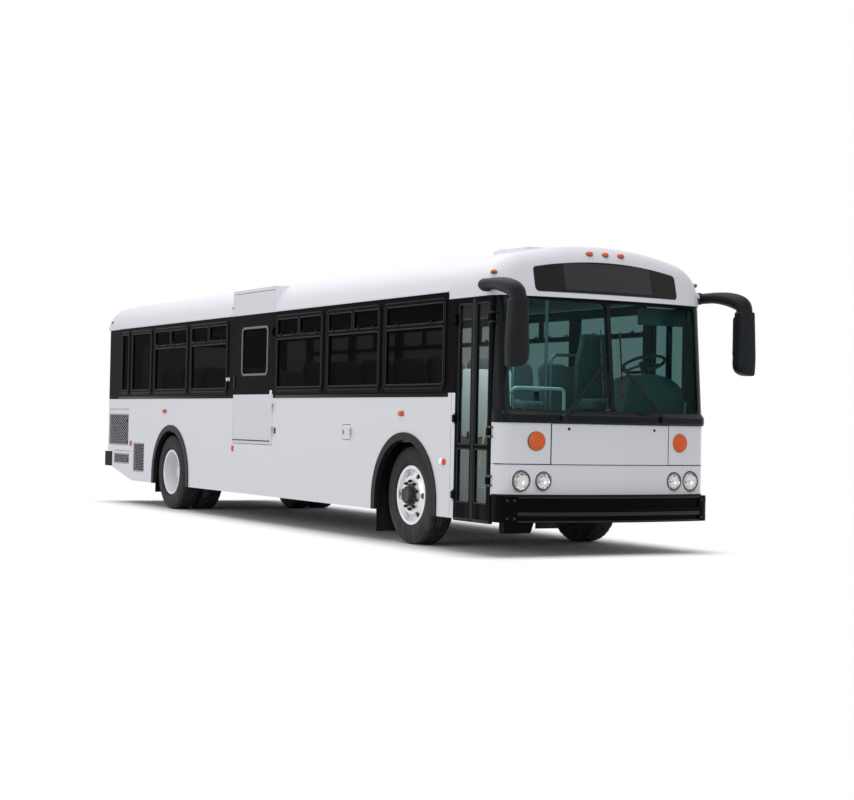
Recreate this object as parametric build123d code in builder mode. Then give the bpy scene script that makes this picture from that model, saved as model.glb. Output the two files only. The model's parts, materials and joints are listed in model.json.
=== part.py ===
from build123d import *
import math
import os

# A white transit-style school bus with a wheelchair lift door, in millimetres.
# +X points forward, +Y to the driver's side and +Z up, from the ground under the middle of the bus.
# A station is a distance behind the line through the front corners, so stations grow towards the rear.

# Body shell
body_length = 11260.0
body_width = 2438.0
wall = 50.0
skirt_z = 330.0
belt_z = 1510.0
gutter_z = 2540.0
roof_top_z = 3005.0
crown_radius = 4000.0
shoulder_radius = 360.0
gutter_out = 25.0
gutter_height = 22.0
fit_gap = 0.4
seam = 4.0

# Floor and frame
floor_z = 1100.0
floor_thickness = 50.0
engine_deck_z = 1480.0
engine_deck_station = 9700.0
rail_bottom_z = 680.0
rail_height = 220.0
rail_width = 75.0
rail_outer_y = 432.0

# Front end
nose_lead = 64.0
nose_bow = 136.0
nose_corner = 150.0
fascia_z = 590.0
dash_line_z = 1271.0
cap_z = 2470.0
cap_station = 900.0
brow_bow = 96.0
brow_setback = 100.0
cap_bow = 130.0
cap_setback = 60.0
crest_bow = 100.0
crest_setback = 198.0
cap_round = 200.0
soffit = 16.0
pillar_station = 54.0
post_station = 890.0
post_z = 1550.0
driver_pillar_station = 200.0

# Rear end
rear_corner = 90.0
rear_dome = 420.0
rear_cap_station = 10750.0
rear_wall_z = 740.0
bumper_depth = 60.0
rear_notch_station = 10987.0
rear_notch_z = 505.0
taper_station = 10107.0

# Wheels and axles
front_axle_station = 1780.0
wheelbase = 6830.0
tyre_radius = 505.0
tyre_width = 280.0
bead_radius = 288.0
bead_half = 105.0
front_tyre_inset = 72.0
rear_tyre_inset = 28.0
dual_spacing = 330.0
arch_radius = 700.0
arch_z = 450.0
rear_arch_lead = 60.0
flare_width = 80.0
flare_out = 14.0
kingpin_y = 800.0
kingpin_radius = 26.0
spindle_radius = 42.0
bearing_gap = 0.3

# Doors
door_front_station = 60.0
door_rear_station = 750.0
door_bottom_z = 312.0
door_gap = 6.0
leaf_gap = 18.0
leaf_thickness = 36.0
hinge_out = 18.0
hinge_pin_radius = 7.0
hinge_barrel_radius = 13.0
hinge_length = 70.0
hinge_lug = 18.0
hinge_reach = 38.0
lift_front_station = 5120.0
lift_rear_station = 6360.0
lift_bottom_z = 945.0
lift_top_z = 2815.0
lift_thickness = 45.0
lift_header = 40.0
engine_door_half = 845.0
engine_door_bottom_z = 795.0
engine_door_top_z = 1475.0

# Mirrors
mirror_reach = 600.0

half = body_width / 2
inner = half - wall
overall_length = mirror_reach + body_length + bumper_depth
nose_x = overall_length / 2 - mirror_reach
rear_x = nose_x - body_length
rear_axle_station = front_axle_station + wheelbase
rear_arch_station = rear_axle_station - rear_arch_lead
crown_z = roof_top_z - crown_radius
rail_top_z = rail_bottom_z + rail_height
rail_inner_y = rail_outer_y - rail_width
rail_mid_y = rail_outer_y - rail_width / 2
floor_under_z = floor_z - floor_thickness
crest_z = roof_top_z + 60
sides = (-1, 1)


def at(station):
    return nose_x - station


# A plain block between two corners, in the part being built
def block(x0, x1, y0, y1, z0, z1, mode=Mode.ADD):
    with Locations(((x0 + x1) / 2, (y0 + y1) / 2, (z0 + z1) / 2)):
        Box(abs(x1 - x0), abs(y1 - y0), abs(z1 - z0), mode=mode)


# A round bar between two points
def rod(start, end, radius):
    axis = Vector(*end) - Vector(*start)
    with BuildPart(Plane(origin=start, z_dir=axis)) as bar:
        Cylinder(radius, axis.length, align=(Align.CENTER, Align.CENTER, Align.MIN))
    return bar.part


# A bent tube along a path of points with rounded corners
def tube(points, bend, radius):
    with BuildPart() as pipe:
        with BuildLine() as path:
            FilletPolyline(*points, radius=bend)
        with BuildSketch(Plane(origin=path.line @ 0, z_dir=path.line % 0)):
            Circle(radius)
        sweep()
    return pipe.part


# The upper body's cross-section, y across and z up, drawn in by an inset
def arch_face(base_z, inset):
    side = half - inset
    shoulder = shoulder_radius - inset
    shoulder_y = half - shoulder_radius
    shoulder_z = crown_z + math.sqrt((crown_radius - shoulder_radius) ** 2 - shoulder_y**2)
    tangent = math.atan2(shoulder_z - crown_z, shoulder_y)

    def on_shoulder(angle, hand):
        return (
            hand * (shoulder_y + shoulder * math.cos(angle)),
            shoulder_z + shoulder * math.sin(angle),
        )

    with BuildSketch() as section:
        with BuildLine():
            Line((-side, base_z), (side, base_z))
            Line((side, base_z), (side, shoulder_z))
            ThreePointArc((side, shoulder_z), on_shoulder(tangent / 2, 1), on_shoulder(tangent, 1))
            ThreePointArc(on_shoulder(tangent, 1), (0, roof_top_z - inset), on_shoulder(tangent, -1))
            ThreePointArc(on_shoulder(tangent, -1), on_shoulder(tangent / 2, -1), (-side, shoulder_z))
            Line((-side, shoulder_z), (-side, base_z))
        make_face()
    return section.sketch


# A plan of the front end: flat sides, a bowed front and round corners
def nose_plan(bow, setback, inset, back_station, side=half, corner=nose_corner):
    front = nose_x + nose_lead - setback - inset
    reach = side - inset
    with BuildSketch() as plan:
        with BuildLine():
            Polyline((front, -reach), (at(back_station), -reach), (at(back_station), reach), (front, reach))
            ThreePointArc((front, reach), (front + bow, 0), (front, -reach))
        make_face()
        if corner > inset:
            fillet(plan.vertices().sort_by(Axis.X)[-2:], corner - inset)
    return plan.sketch


# How far forward the outer face of the fascia or the windshield is
def nose_skin(y, z):
    share = max(0.0, (z - dash_line_z) / (cap_z - dash_line_z))
    bow = nose_bow + (brow_bow - nose_bow) * share
    return nose_x + nose_lead - brow_setback * share + bow * (1 - (y / half) ** 2)


# The raked front between the dash line and the cap, drawn in by an inset
def raked_nose(inset):
    with BuildPart() as raked:
        with BuildSketch(Plane.XY.offset(dash_line_z)):
            add(nose_plan(nose_bow, 0, inset, driver_pillar_station))
        with BuildSketch(Plane.XY.offset(cap_z)):
            add(nose_plan(brow_bow, brow_setback, inset, driver_pillar_station))
        loft(ruled=True)
    return raked.part


# The leaning face above the windshield as a full block, drawn in by an inset
def brow_block(inset):
    with BuildPart() as brow:
        with BuildSketch(Plane.XY.offset(cap_z)):
            add(nose_plan(cap_bow, cap_setback, inset, cap_station, half + inset, 0))
        with BuildSketch(Plane.XY.offset(crest_z)):
            add(nose_plan(crest_bow, crest_setback, inset, cap_station, half + inset, 0))
        loft(ruled=True)
    return brow.part


# The domed front of the roof, drawn in by an inset
def front_dome(inset):
    with BuildPart() as dome:
        with BuildSketch(Plane.YZ.offset(at(cap_station))):
            add(arch_face(cap_z, inset))
        extrude(amount=cap_station + nose_lead + nose_bow)
        add(brow_block(inset), mode=Mode.INTERSECT)
        brow = dome.faces().sort_by(Axis.X)[-1]
        fillet(brow.edges().sort_by(Axis.Z)[1:], cap_round - inset)
    return dome.part


# The domed rear of the roof, drawn in by an inset
def rear_dome_part(inset):
    with BuildPart() as dome:
        with BuildSketch(Plane.YZ.offset(rear_x + inset)):
            add(arch_face(gutter_z, inset))
        extrude(amount=at(rear_cap_station) - rear_x - inset)
        with BuildSketch(Plane.XZ.offset(-half)) as profile:
            with BuildLine():
                Polyline(
                    (at(rear_cap_station), gutter_z),
                    (rear_x + inset, gutter_z),
                    (rear_x + inset, roof_top_z),
                    (at(rear_cap_station), roof_top_z),
                    close=True,
                )
            make_face()
            fillet(profile.vertices().sort_by(Axis.X)[:2].sort_by(Axis.Y)[-1:], rear_dome - inset)
        extrude(amount=body_width, mode=Mode.INTERSECT)
    return dome.part


# A hinge is set out on a plane whose x points to the jamb, y inwards and z along the pin
def hinge_plane(origin, to_jamb, along):
    return Plane(origin=origin, x_dir=to_jamb, z_dir=along)


# The fixed pin of a hinge and the two lugs that hold it off the jamb
def hinge_pin(plane, out, root):
    with Locations(plane):
        Cylinder(hinge_pin_radius, hinge_length + 2 * hinge_lug)
        for end in (-1, 1):
            with Locations((0, 0, end * (hinge_length / 2 + fit_gap + hinge_lug / 2))):
                Cylinder(hinge_barrel_radius, hinge_lug)
                block(0, hinge_reach, -hinge_barrel_radius, out - 1, -hinge_lug / 2, hinge_lug / 2)
                block(door_gap / 2 + 0.5, hinge_reach, out - 2, out + root, -hinge_lug / 2, hinge_lug / 2)


# The leaf's barrel round that pin
def hinge_barrel(plane, out):
    with Locations(plane):
        Cylinder(hinge_barrel_radius, hinge_length)
        block(-hinge_reach, 0, -hinge_barrel_radius, out + 3, -hinge_length / 2, hinge_length / 2)
        Cylinder(hinge_pin_radius + bearing_gap, hinge_length + 2, mode=Mode.SUBTRACT)


# Hinge places: x and y of the pin's line, then the heights of its barrels
front_leaf_hinge = (at(door_front_station) - door_gap / 2, -half - hinge_out, (720, 1180, 2260))
rear_leaf_hinge = (at(door_rear_station) + door_gap / 2, -half - hinge_out, (560, 1300, 2260))
lift_hinge = (at(lift_front_station) - door_gap / 2, -half - hinge_out, (1120, 1400, 2300))
engine_hinge_y = (-600, 0, 600)
hatch_hinge_y = (-180, 180)
forward, backward, upward, downward = (1, 0, 0), (-1, 0, 0), (0, 0, 1), (0, 0, -1)

# Side windows
window_pitch = 1400.0
window_post = 90.0
window_sill_z = 1595.0
window_head_z = 2490.0
transom_z = 2230.0
first_post_station = 900.0
bay_count = 6
lift_bay = 3
rear_windows = [(9300.0, 945.0), (10245.0, 445.0)]
driver_window = (220.0, 680.0)
driver_head_z = 2430.0
window_corner = 70.0
sash_width = 45.0
sash_out = 10.0
sash_in = 30.0
glass_thickness = 6.0
glass_set = 8.0


# Rows of front station, rear station, head height, whether it has a transom, and panes across its top
def side_windows(hand):
    rows = []
    for bay in range(bay_count):
        if hand < 0 and bay == lift_bay:
            continue
        front = first_post_station + window_pitch * bay
        rows.append((front, front + window_pitch, window_head_z, True, 1 if bay == 0 else 2))
    for front, width in rear_windows:
        rows.append((front, front + width, window_head_z, False, 1))
    if hand > 0:
        front, width = driver_window
        rows.append((front, front + width, driver_head_z, False, 2))
    gap = window_post / 2
    return [(front + gap, rear - gap, head, transom, panes) for front, rear, head, transom, panes in rows]


# A sketch plane on a side wall's outer face, x forward and y up
def wall_plane(hand, out=0.0):
    return Plane.XZ.offset(-hand * (half + out))


def window_face(front, rear, head, shrink, corner):
    with BuildSketch() as face:
        with Locations(((at(front) + at(rear)) / 2, (window_sill_z + head) / 2)):
            RectangleRounded(rear - front - 2 * shrink, head - window_sill_z - 2 * shrink, corner)
    return face.sketch


# The panes of one window as rows of x0, x1, z0, z1
def window_panes(front, rear, head, transom, panes):
    left, right = at(rear) + sash_width, at(front) - sash_width
    bottom, top = window_sill_z + sash_width, head - sash_width
    rows = []
    upper = bottom
    if transom:
        rows.append((left, right, bottom, transom_z - sash_width / 2))
        upper = transom_z + sash_width / 2
    width = (right - left - (panes - 1) * sash_width) / panes
    for pane in range(panes):
        start = left + pane * (width + sash_width)
        rows.append((start, start + width, upper, top))
    return rows


# Grilles over the engine bay: front station, rear station, bottom and top heights
grille_places = [
    (10284.0, 11150.0, 830.0, 1294.0),
    (10239.0, 10909.0, 560.0, 716.0),
    (9599.0, 10057.0, 463.0, 882.0),
]
grille_frame = 18.0
grille_bar = 9.0
grille_pitch = 28.0
grille_thickness = 12.0

# Fuel filler lid
fuel_front_station = 3012.0
fuel_rear_station = 3225.0
fuel_bottom_z = 1047.0
fuel_top_z = 1219.0
fuel_length = fuel_rear_station - fuel_front_station
fuel_height = fuel_top_z - fuel_bottom_z
fuel_mid_z = (fuel_bottom_z + fuel_top_z) / 2
fuel_lid_thickness = 14.0


# The front end of the belt line, with the step up to the white post beside the entry door
def belt_step(hand, front):
    if hand > 0:
        return [(at(front), belt_z)]
    return [(at(front), post_z), (at(post_station), post_z), (at(post_station), belt_z)]


# A lower side wall with its wheel arches, its grille openings and, on the kerb side, its doors
def side_panel(hand):
    front = door_rear_station if hand < 0 else driver_pillar_station
    rear = body_length - rear_corner
    with BuildPart() as panel:
        with BuildSketch(wall_plane(hand)):
            with BuildLine():
                Polyline(
                    (at(front), skirt_z),
                    *belt_step(hand, front),
                    (at(rear), belt_z),
                    (at(rear), rear_wall_z),
                    (at(rear_notch_station), rear_wall_z),
                    (at(rear_notch_station), rear_notch_z),
                    (at(taper_station), skirt_z),
                    close=True,
                )
            make_face()
            for centre in (front_axle_station, rear_arch_station):
                with Locations((at(centre), arch_z)):
                    Circle(arch_radius, mode=Mode.SUBTRACT)
                with Locations((at(centre), arch_z / 2)):
                    Rectangle(2 * arch_radius, arch_z, mode=Mode.SUBTRACT)
            for near, far, bottom, top in grille_places:
                with Locations(((at(near) + at(far)) / 2, (bottom + top) / 2)):
                    Rectangle(far - near, top - bottom, mode=Mode.SUBTRACT)
            if hand < 0:
                lift_length = lift_rear_station - lift_front_station
                with Locations((at(lift_front_station + lift_length / 2), (lift_bottom_z + belt_z) / 2)):
                    Rectangle(lift_length, belt_z - lift_bottom_z, mode=Mode.SUBTRACT)
                with Locations((at(fuel_front_station + fuel_length / 2), fuel_mid_z)):
                    RectangleRounded(fuel_length, fuel_height, 20, mode=Mode.SUBTRACT)
        extrude(amount=hand * wall)
        if hand < 0:
            x, y, heights = rear_leaf_hinge
            for z in heights:
                if z < belt_z:
                    hinge_pin(hinge_plane((x, y, z), backward, downward), hinge_out, 10)
            x, y, heights = lift_hinge
            for z in heights:
                if z < belt_z:
                    hinge_pin(hinge_plane((x, y, z), forward, upward), hinge_out, 10)
            hinge_pin(fuel_plane, hinge_out, 10)
    return panel.part


fuel_plane = hinge_plane(
    (at(fuel_front_station) - door_gap / 2, -half - hinge_out, fuel_mid_z), forward, upward
)


# The dark window band of one side, with its openings
def window_band(hand):
    rear = body_length - rear_corner
    front = door_rear_station if hand < 0 else driver_pillar_station
    with BuildPart() as band:
        with BuildSketch(wall_plane(hand)):
            with BuildLine():
                Polyline(
                    *reversed(belt_step(hand, front)),
                    (at(front), cap_z),
                    (at(cap_station), cap_z),
                    (at(cap_station), gutter_z),
                    (at(rear), gutter_z),
                    (at(rear), belt_z),
                    close=True,
                )
            make_face()
            for near, far, head, transom, panes in side_windows(hand):
                add(window_face(near, far, head, 0, window_corner), mode=Mode.SUBTRACT)
            if hand < 0:
                with Locations((at((lift_front_station + lift_rear_station) / 2), (belt_z + gutter_z) / 2)):
                    Rectangle(lift_rear_station - lift_front_station, gutter_z - belt_z + 2, mode=Mode.SUBTRACT)
        extrude(amount=hand * wall)
        if hand < 0:
            x, y, heights = rear_leaf_hinge
            for z in heights:
                if z > belt_z:
                    hinge_pin(hinge_plane((x, y, z), backward, downward), hinge_out, 10)
            x, y, heights = lift_hinge
            for z in heights:
                if z > belt_z:
                    hinge_pin(hinge_plane((x, y, z), forward, upward), hinge_out, 10)
    return band.part


nodes = {}

# Side walls and their windows
nodes["side_panel_right"] = side_panel(-1)
nodes["side_panel_left"] = side_panel(1)

with BuildPart() as window_bands:
    for hand in sides:
        add(window_band(hand))
nodes["window_bands"] = window_bands.part

with BuildPart() as window_sashes:
    for hand in sides:
        with BuildSketch(wall_plane(hand, sash_out)):
            for front, rear, head, transom, panes in side_windows(hand):
                add(window_face(front, rear, head, fit_gap, window_corner - fit_gap))
                for x0, x1, z0, z1 in window_panes(front, rear, head, transom, panes):
                    with Locations(((x0 + x1) / 2, (z0 + z1) / 2)):
                        RectangleRounded(x1 - x0, z1 - z0, 25, mode=Mode.SUBTRACT)
        extrude(amount=hand * (sash_out + sash_in))
nodes["window_sashes"] = window_sashes.part

rear_window = (700.0, 1650.0, 2350.0)
with BuildPart() as window_glass:
    for hand in sides:
        with BuildSketch(wall_plane(hand, -glass_set)):
            for front, rear, head, transom, panes in side_windows(hand):
                for x0, x1, z0, z1 in window_panes(front, rear, head, transom, panes):
                    with Locations(((x0 + x1) / 2, (z0 + z1) / 2)):
                        RectangleRounded(x1 - x0 - 2 * fit_gap, z1 - z0 - 2 * fit_gap, 25 - fit_gap)
        extrude(amount=hand * glass_thickness)
    reach, bottom, top = rear_window
    with BuildSketch(Plane.YZ.offset(rear_x + 15)):
        with Locations((0, (bottom + top) / 2)):
            RectangleRounded(2 * (reach - fit_gap), top - bottom - 2 * fit_gap, 60 - fit_gap)
    extrude(amount=glass_thickness)
nodes["window_glass"] = window_glass.part

# Roof
hatch_station = 1250.0
hatch_size = 600.0
hatch_rim = 25.0
hatch_seat_z = roof_top_z + 12
hatch_thickness = 34.0
hatch_plane_x = at(hatch_station) - hatch_size / 2 - 20
hatch_pin_z = hatch_seat_z + hatch_thickness + hinge_out
with BuildPart() as roof:
    with BuildSketch(Plane.YZ.offset(at(rear_cap_station))):
        add(arch_face(gutter_z, 0))
        add(arch_face(gutter_z, wall), mode=Mode.SUBTRACT)
    extrude(amount=rear_cap_station - cap_station)
    for hand in sides:
        block(
            at(rear_cap_station), at(cap_station), hand * half, hand * (half + gutter_out),
            gutter_z, gutter_z + gutter_height,
        )
    block(
        at(lift_rear_station + lift_header), at(lift_front_station - lift_header),
        -half - gutter_out, -half + 260, gutter_z, lift_top_z + lift_header,
    )
    block(
        at(lift_rear_station + lift_header) - 1, at(lift_front_station - lift_header) + 1,
        -half - gutter_out - 1, -half, gutter_z - 1, lift_top_z + lift_header + 1, mode=Mode.SUBTRACT,
    )
    block(
        at(lift_rear_station), at(lift_front_station), -half - 100, -half + 261,
        gutter_z - 1, lift_top_z, mode=Mode.SUBTRACT,
    )
    block(
        at(hatch_station) - hatch_size / 2, at(hatch_station) + hatch_size / 2,
        -hatch_size / 2, hatch_size / 2, roof_top_z - 60, hatch_seat_z,
    )
    block(
        at(hatch_station) - hatch_size / 2 + hatch_rim, at(hatch_station) + hatch_size / 2 - hatch_rim,
        -hatch_size / 2 + hatch_rim, hatch_size / 2 - hatch_rim, roof_top_z - 100, hatch_seat_z + 1,
        mode=Mode.SUBTRACT,
    )
    for y in hatch_hinge_y:
        hinge_pin(hinge_plane((hatch_plane_x, y, hatch_pin_z), backward, (0, -1, 0)), hinge_out, 60)
nodes["roof"] = roof.part

# The sign glass lies in a recess in the front of the cap
sign_half = 830.0
sign_bottom_z = 2520.0
sign_corner_z = 2755.0
sign_top_z = 2835.0
sign_proud = 4.0
sign_sunk = 8.0
sign_round = 40.0


def sign_block(grow, proud, sunk):
    reach, low, high = sign_half + grow, sign_bottom_z - grow, sign_top_z + grow
    with BuildPart() as sign:
        add(brow_block(-proud))
        add(brow_block(sunk), mode=Mode.SUBTRACT)
        with BuildSketch(Plane.YZ.offset(at(250))) as outline:
            with BuildLine():
                Polyline((-reach, sign_corner_z), (-reach, low), (reach, low), (reach, sign_corner_z))
                ThreePointArc((reach, sign_corner_z), (0, high), (-reach, sign_corner_z))
            make_face()
            fillet(outline.vertices(), sign_round + grow)
        extrude(amount=600, mode=Mode.INTERSECT)
    return sign.part


nodes["sign_glass"] = sign_block(0, sign_proud, sign_sunk)

dome_outside = front_dome(0)
mirror_base_station = 150.0
mirror_base_z = 2565.0
mirror_boss = 12.0
mirror_boss_radius = 60.0
with BuildPart() as soffit_plate:
    with BuildSketch(Plane.XY.offset(cap_z)):
        add(nose_plan(cap_bow, cap_setback, 0, cap_station))
        add(nose_plan(brow_bow, brow_setback, wall, cap_station), mode=Mode.SUBTRACT)
    extrude(amount=soffit)
    add(dome_outside, mode=Mode.INTERSECT)
with BuildPart() as front_cap:
    add(dome_outside)
    add(front_dome(wall), mode=Mode.SUBTRACT)
    add(soffit_plate.part)
    add(sign_block(fit_gap, 60, sign_sunk + fit_gap), mode=Mode.SUBTRACT)
    for hand in sides:
        with Locations(Plane.XZ.offset(-hand * inner)):
            with Locations((at(mirror_base_station), mirror_base_z)):
                Cylinder(
                    mirror_boss_radius, wall + mirror_boss,
                    align=(Align.CENTER, Align.CENTER, Align.MAX if hand > 0 else Align.MIN),
                )
nodes["front_cap"] = front_cap.part

with BuildPart() as rear_cap:
    add(rear_dome_part(0))
    add(rear_dome_part(wall), mode=Mode.SUBTRACT)
nodes["rear_cap"] = rear_cap.part

with BuildPart() as rear_wall:
    with BuildSketch(Plane.XY.offset(rear_wall_z)) as plan:
        with Locations((rear_x + rear_corner / 2, 0)):
            Rectangle(rear_corner, body_width)
        fillet(plan.vertices().sort_by(Axis.X)[:2], rear_corner - 1)
        with Locations((rear_x + wall + rear_corner / 2, 0)):
            Rectangle(rear_corner, 2 * inner, mode=Mode.SUBTRACT)
    extrude(amount=gutter_z - rear_wall_z)
    reach, bottom, top = rear_window
    with BuildSketch(Plane.YZ.offset(rear_x - 10)):
        with Locations((0, (bottom + top) / 2)):
            RectangleRounded(2 * reach, top - bottom, 60)
        with Locations((0, (engine_door_bottom_z + engine_door_top_z) / 2)):
            Rectangle(2 * engine_door_half, engine_door_top_z - engine_door_bottom_z)
    extrude(amount=rear_corner + 20, mode=Mode.SUBTRACT)
    for y in engine_hinge_y:
        pin_z = engine_door_top_z - door_gap / 2
        hinge_pin(hinge_plane((rear_x - hinge_out, y, pin_z), upward, (0, 1, 0)), hinge_out, 10)
nodes["rear_wall"] = rear_wall.part

# A round lamp turned about an axis along X: a body, a rim and a domed lens
def round_lamp(x, y, z, radius, proud, dome):
    plane = Plane(origin=(x, y, z), x_dir=(0, 1, 0), z_dir=(0, 0, -1))
    with BuildPart() as lamp:
        with BuildSketch(plane):
            with BuildLine():
                Polyline(
                    (0, 0), (radius, 0), (radius, proud), (radius - 6, proud + 8), (radius - 14, proud + 8),
                    (radius - 18, proud),
                )
                ThreePointArc((radius - 18, proud), (radius * 0.55, proud + 0.72 * dome), (12, proud + dome))
                Polyline((12, proud + dome), (0, proud + dome), (0, 0))
            make_face()
        revolve(axis=Axis(plane.origin, (1, 0, 0)))
    return lamp.part


# Front end
seated = (Align.CENTER, Align.CENTER, Align.MIN)
headlamps_at = [(-987.0, 100.0), (-762.0, 90.0), (762.0, 90.0), (987.0, 100.0)]
headlamp_z = 727.0
turn_lamp_y = 835.0
turn_lamp_z = 1100.0
turn_lamp_radius = 92.0
panel_half = 685.0
panel_bottom_z = 881.0
panel_depth = 16.0
groove_width = 6.0
groove_depth = 8.0
with BuildPart() as front_fascia:
    with BuildSketch(Plane.XY.offset(fascia_z)):
        add(nose_plan(nose_bow, 0, 0, driver_pillar_station))
        add(nose_plan(nose_bow, 0, wall, driver_pillar_station), mode=Mode.SUBTRACT)
    extrude(amount=dash_line_z - fascia_z)
    block(
        at(driver_pillar_station), at(pillar_station), -half - 1, -half + 300, fascia_z, dash_line_z,
        mode=Mode.SUBTRACT,
    )
    with BuildPart(mode=Mode.PRIVATE) as pocket:
        with BuildSketch(Plane.XY.offset(panel_bottom_z)):
            add(nose_plan(nose_bow, 0, panel_depth, driver_pillar_station))
        extrude(amount=dash_line_z - panel_bottom_z)
    with BuildPart(mode=Mode.PRIVATE) as panel_void:
        block(at(0), at(-400), -panel_half, panel_half, panel_bottom_z, dash_line_z)
        add(pocket.part, mode=Mode.SUBTRACT)
    add(panel_void.part, mode=Mode.SUBTRACT)
    for y, radius in headlamps_at:
        with Locations(Plane.YZ.offset(nose_skin(y, headlamp_z) - 35)):
            with Locations((y, headlamp_z)):
                Cylinder(radius, 200, align=seated, mode=Mode.SUBTRACT)
    for hand in sides:
        with Locations(Plane.YZ.offset(nose_skin(turn_lamp_y, turn_lamp_z) - 22)):
            with Locations((hand * turn_lamp_y, turn_lamp_z)):
                Cylinder(turn_lamp_radius, 200, align=seated, mode=Mode.SUBTRACT)
    with BuildPart(mode=Mode.PRIVATE) as groove:
        with BuildSketch(Plane.XY.offset(panel_bottom_z)):
            add(nose_plan(nose_bow, 0, -20, driver_pillar_station))
            add(nose_plan(nose_bow, 0, groove_depth, driver_pillar_station), mode=Mode.SUBTRACT)
        extrude(amount=groove_width)
    add(groove.part, mode=Mode.SUBTRACT)
    x, y, heights = front_leaf_hinge
    for z in heights:
        if z < dash_line_z:
            hinge_pin(hinge_plane((x, y, z), forward, upward), hinge_out, 40)
nodes["front_fascia"] = front_fascia.part

with BuildPart() as access_panel:
    with BuildSketch(Plane.XY.offset(panel_bottom_z + seam)):
        add(nose_plan(nose_bow, 0, 0, driver_pillar_station))
        add(nose_plan(nose_bow, 0, panel_depth - fit_gap, driver_pillar_station), mode=Mode.SUBTRACT)
    extrude(amount=dash_line_z - panel_bottom_z - 2 * seam)
    with BuildSketch(Plane.YZ.offset(at(0))):
        with Locations((0, (panel_bottom_z + dash_line_z) / 2)):
            Rectangle(2 * (panel_half - seam), dash_line_z - panel_bottom_z)
    extrude(amount=400, mode=Mode.INTERSECT)
nodes["access_panel"] = access_panel.part

pane_inner_y = 22.0
pane_outer_y = 1100.0
pane_bottom_z = 1395.0
pane_top_z = 2440.0
windshield_set = 12.0
windshield_thickness = 8.0


def windshield_panes(shrink, corner):
    with BuildSketch() as panes:
        for hand in sides:
            with Locations((hand * (pane_inner_y + pane_outer_y) / 2, (pane_bottom_z + pane_top_z) / 2)):
                RectangleRounded(
                    pane_outer_y - pane_inner_y - 2 * shrink, pane_top_z - pane_bottom_z - 2 * shrink, corner
                )
    return panes.sketch


# The rounded cowl under the windshield: rows of height and how far it stands forward
cowl_rows = [(dash_line_z, 20.0), (1292.0, 38.0), (1350.0, 36.0), (1388.0, 2.0)]
with BuildPart() as cowl:
    for z, lead in cowl_rows:
        with BuildSketch(Plane.XY.offset(z)):
            add(nose_plan(nose_bow, -lead, 0, driver_pillar_station))
    loft(ruled=True)

with BuildPart() as windshield_frame:
    add(raked_nose(0))
    add(cowl.part)
    add(raked_nose(wall), mode=Mode.SUBTRACT)
    with BuildSketch(Plane.YZ.offset(at(300))):
        add(windshield_panes(0, 55))
    extrude(amount=700, mode=Mode.SUBTRACT)
    block(
        at(driver_pillar_station), at(pillar_station), -half - 1, -half + 300, dash_line_z, cap_z,
        mode=Mode.SUBTRACT,
    )
    x, y, heights = front_leaf_hinge
    for z in heights:
        if z > dash_line_z:
            hinge_pin(hinge_plane((x, y, z), forward, upward), hinge_out, 60)
nodes["windshield_frame"] = windshield_frame.part

with BuildPart() as windshield_glass:
    add(raked_nose(windshield_set))
    add(raked_nose(windshield_set + windshield_thickness), mode=Mode.SUBTRACT)
    with BuildSketch(Plane.YZ.offset(at(150))):
        add(windshield_panes(fit_gap, 55 - fit_gap))
    extrude(amount=700, mode=Mode.INTERSECT)
nodes["windshield_glass"] = windshield_glass.part

# Bumpers
bumper_bottom_z = 335.0
bumper_top_z = 584.0
bumper_lead = 85.0
bumper_back_station = 30.0
bumper_wall = 70.0
pad_x = nose_x + 90
rib_half = 1060.0
rib_rows = [(478.0, 560.0, 22.0), (356.0, 440.0, 16.0)]
bracket_outline = [(-1190.0, 340.0), (-1190.0, 236.0), (-900.0, 236.0), (-860.0, 340.0)]
with BuildPart() as bumpers:
    with BuildSketch(Plane.XY.offset(bumper_bottom_z)):
        add(nose_plan(nose_bow, -bumper_lead, 0, bumper_back_station))
        add(
            nose_plan(nose_bow, bumper_wall - bumper_lead, 0, bumper_back_station + 1, inner, 60),
            mode=Mode.SUBTRACT,
        )
    extrude(amount=bumper_top_z - bumper_bottom_z)
    for hand in sides:
        block(
            pad_x, nose_x + nose_lead + nose_bow + 30, hand * rail_inner_y, hand * rail_outer_y,
            bumper_bottom_z + 40, bumper_top_z - 40,
        )
    for bottom, top, depth in rib_rows:
        with BuildPart(mode=Mode.PRIVATE) as face:
            with BuildSketch(Plane.XY.offset(bottom - 1)):
                add(nose_plan(nose_bow, depth - bumper_lead, 0, bumper_back_station))
            extrude(amount=top - bottom + 2)
        with BuildPart(mode=Mode.PRIVATE) as recess:
            block(at(0), at(-400), -rib_half, rib_half, bottom, top)
            add(face.part, mode=Mode.SUBTRACT)
        add(recess.part, mode=Mode.SUBTRACT)
    with BuildSketch(Plane.YZ.offset(nose_x + 70)):
        with BuildLine():
            Polyline(*bracket_outline, close=True)
        make_face()
    extrude(amount=90)
    rear_bumper_bottom = rear_notch_z + 10
    rear_bumper_top = rear_wall_z - 10
    block(rear_x - bumper_depth, rear_x, -half, half, rear_bumper_bottom, rear_bumper_top)
    for hand in sides:
        block(
            rear_x - bumper_depth, at(rear_notch_station) - seam, hand * inner, hand * half,
            rear_bumper_bottom, rear_bumper_top,
        )
nodes["bumpers"] = bumpers.part

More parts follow.
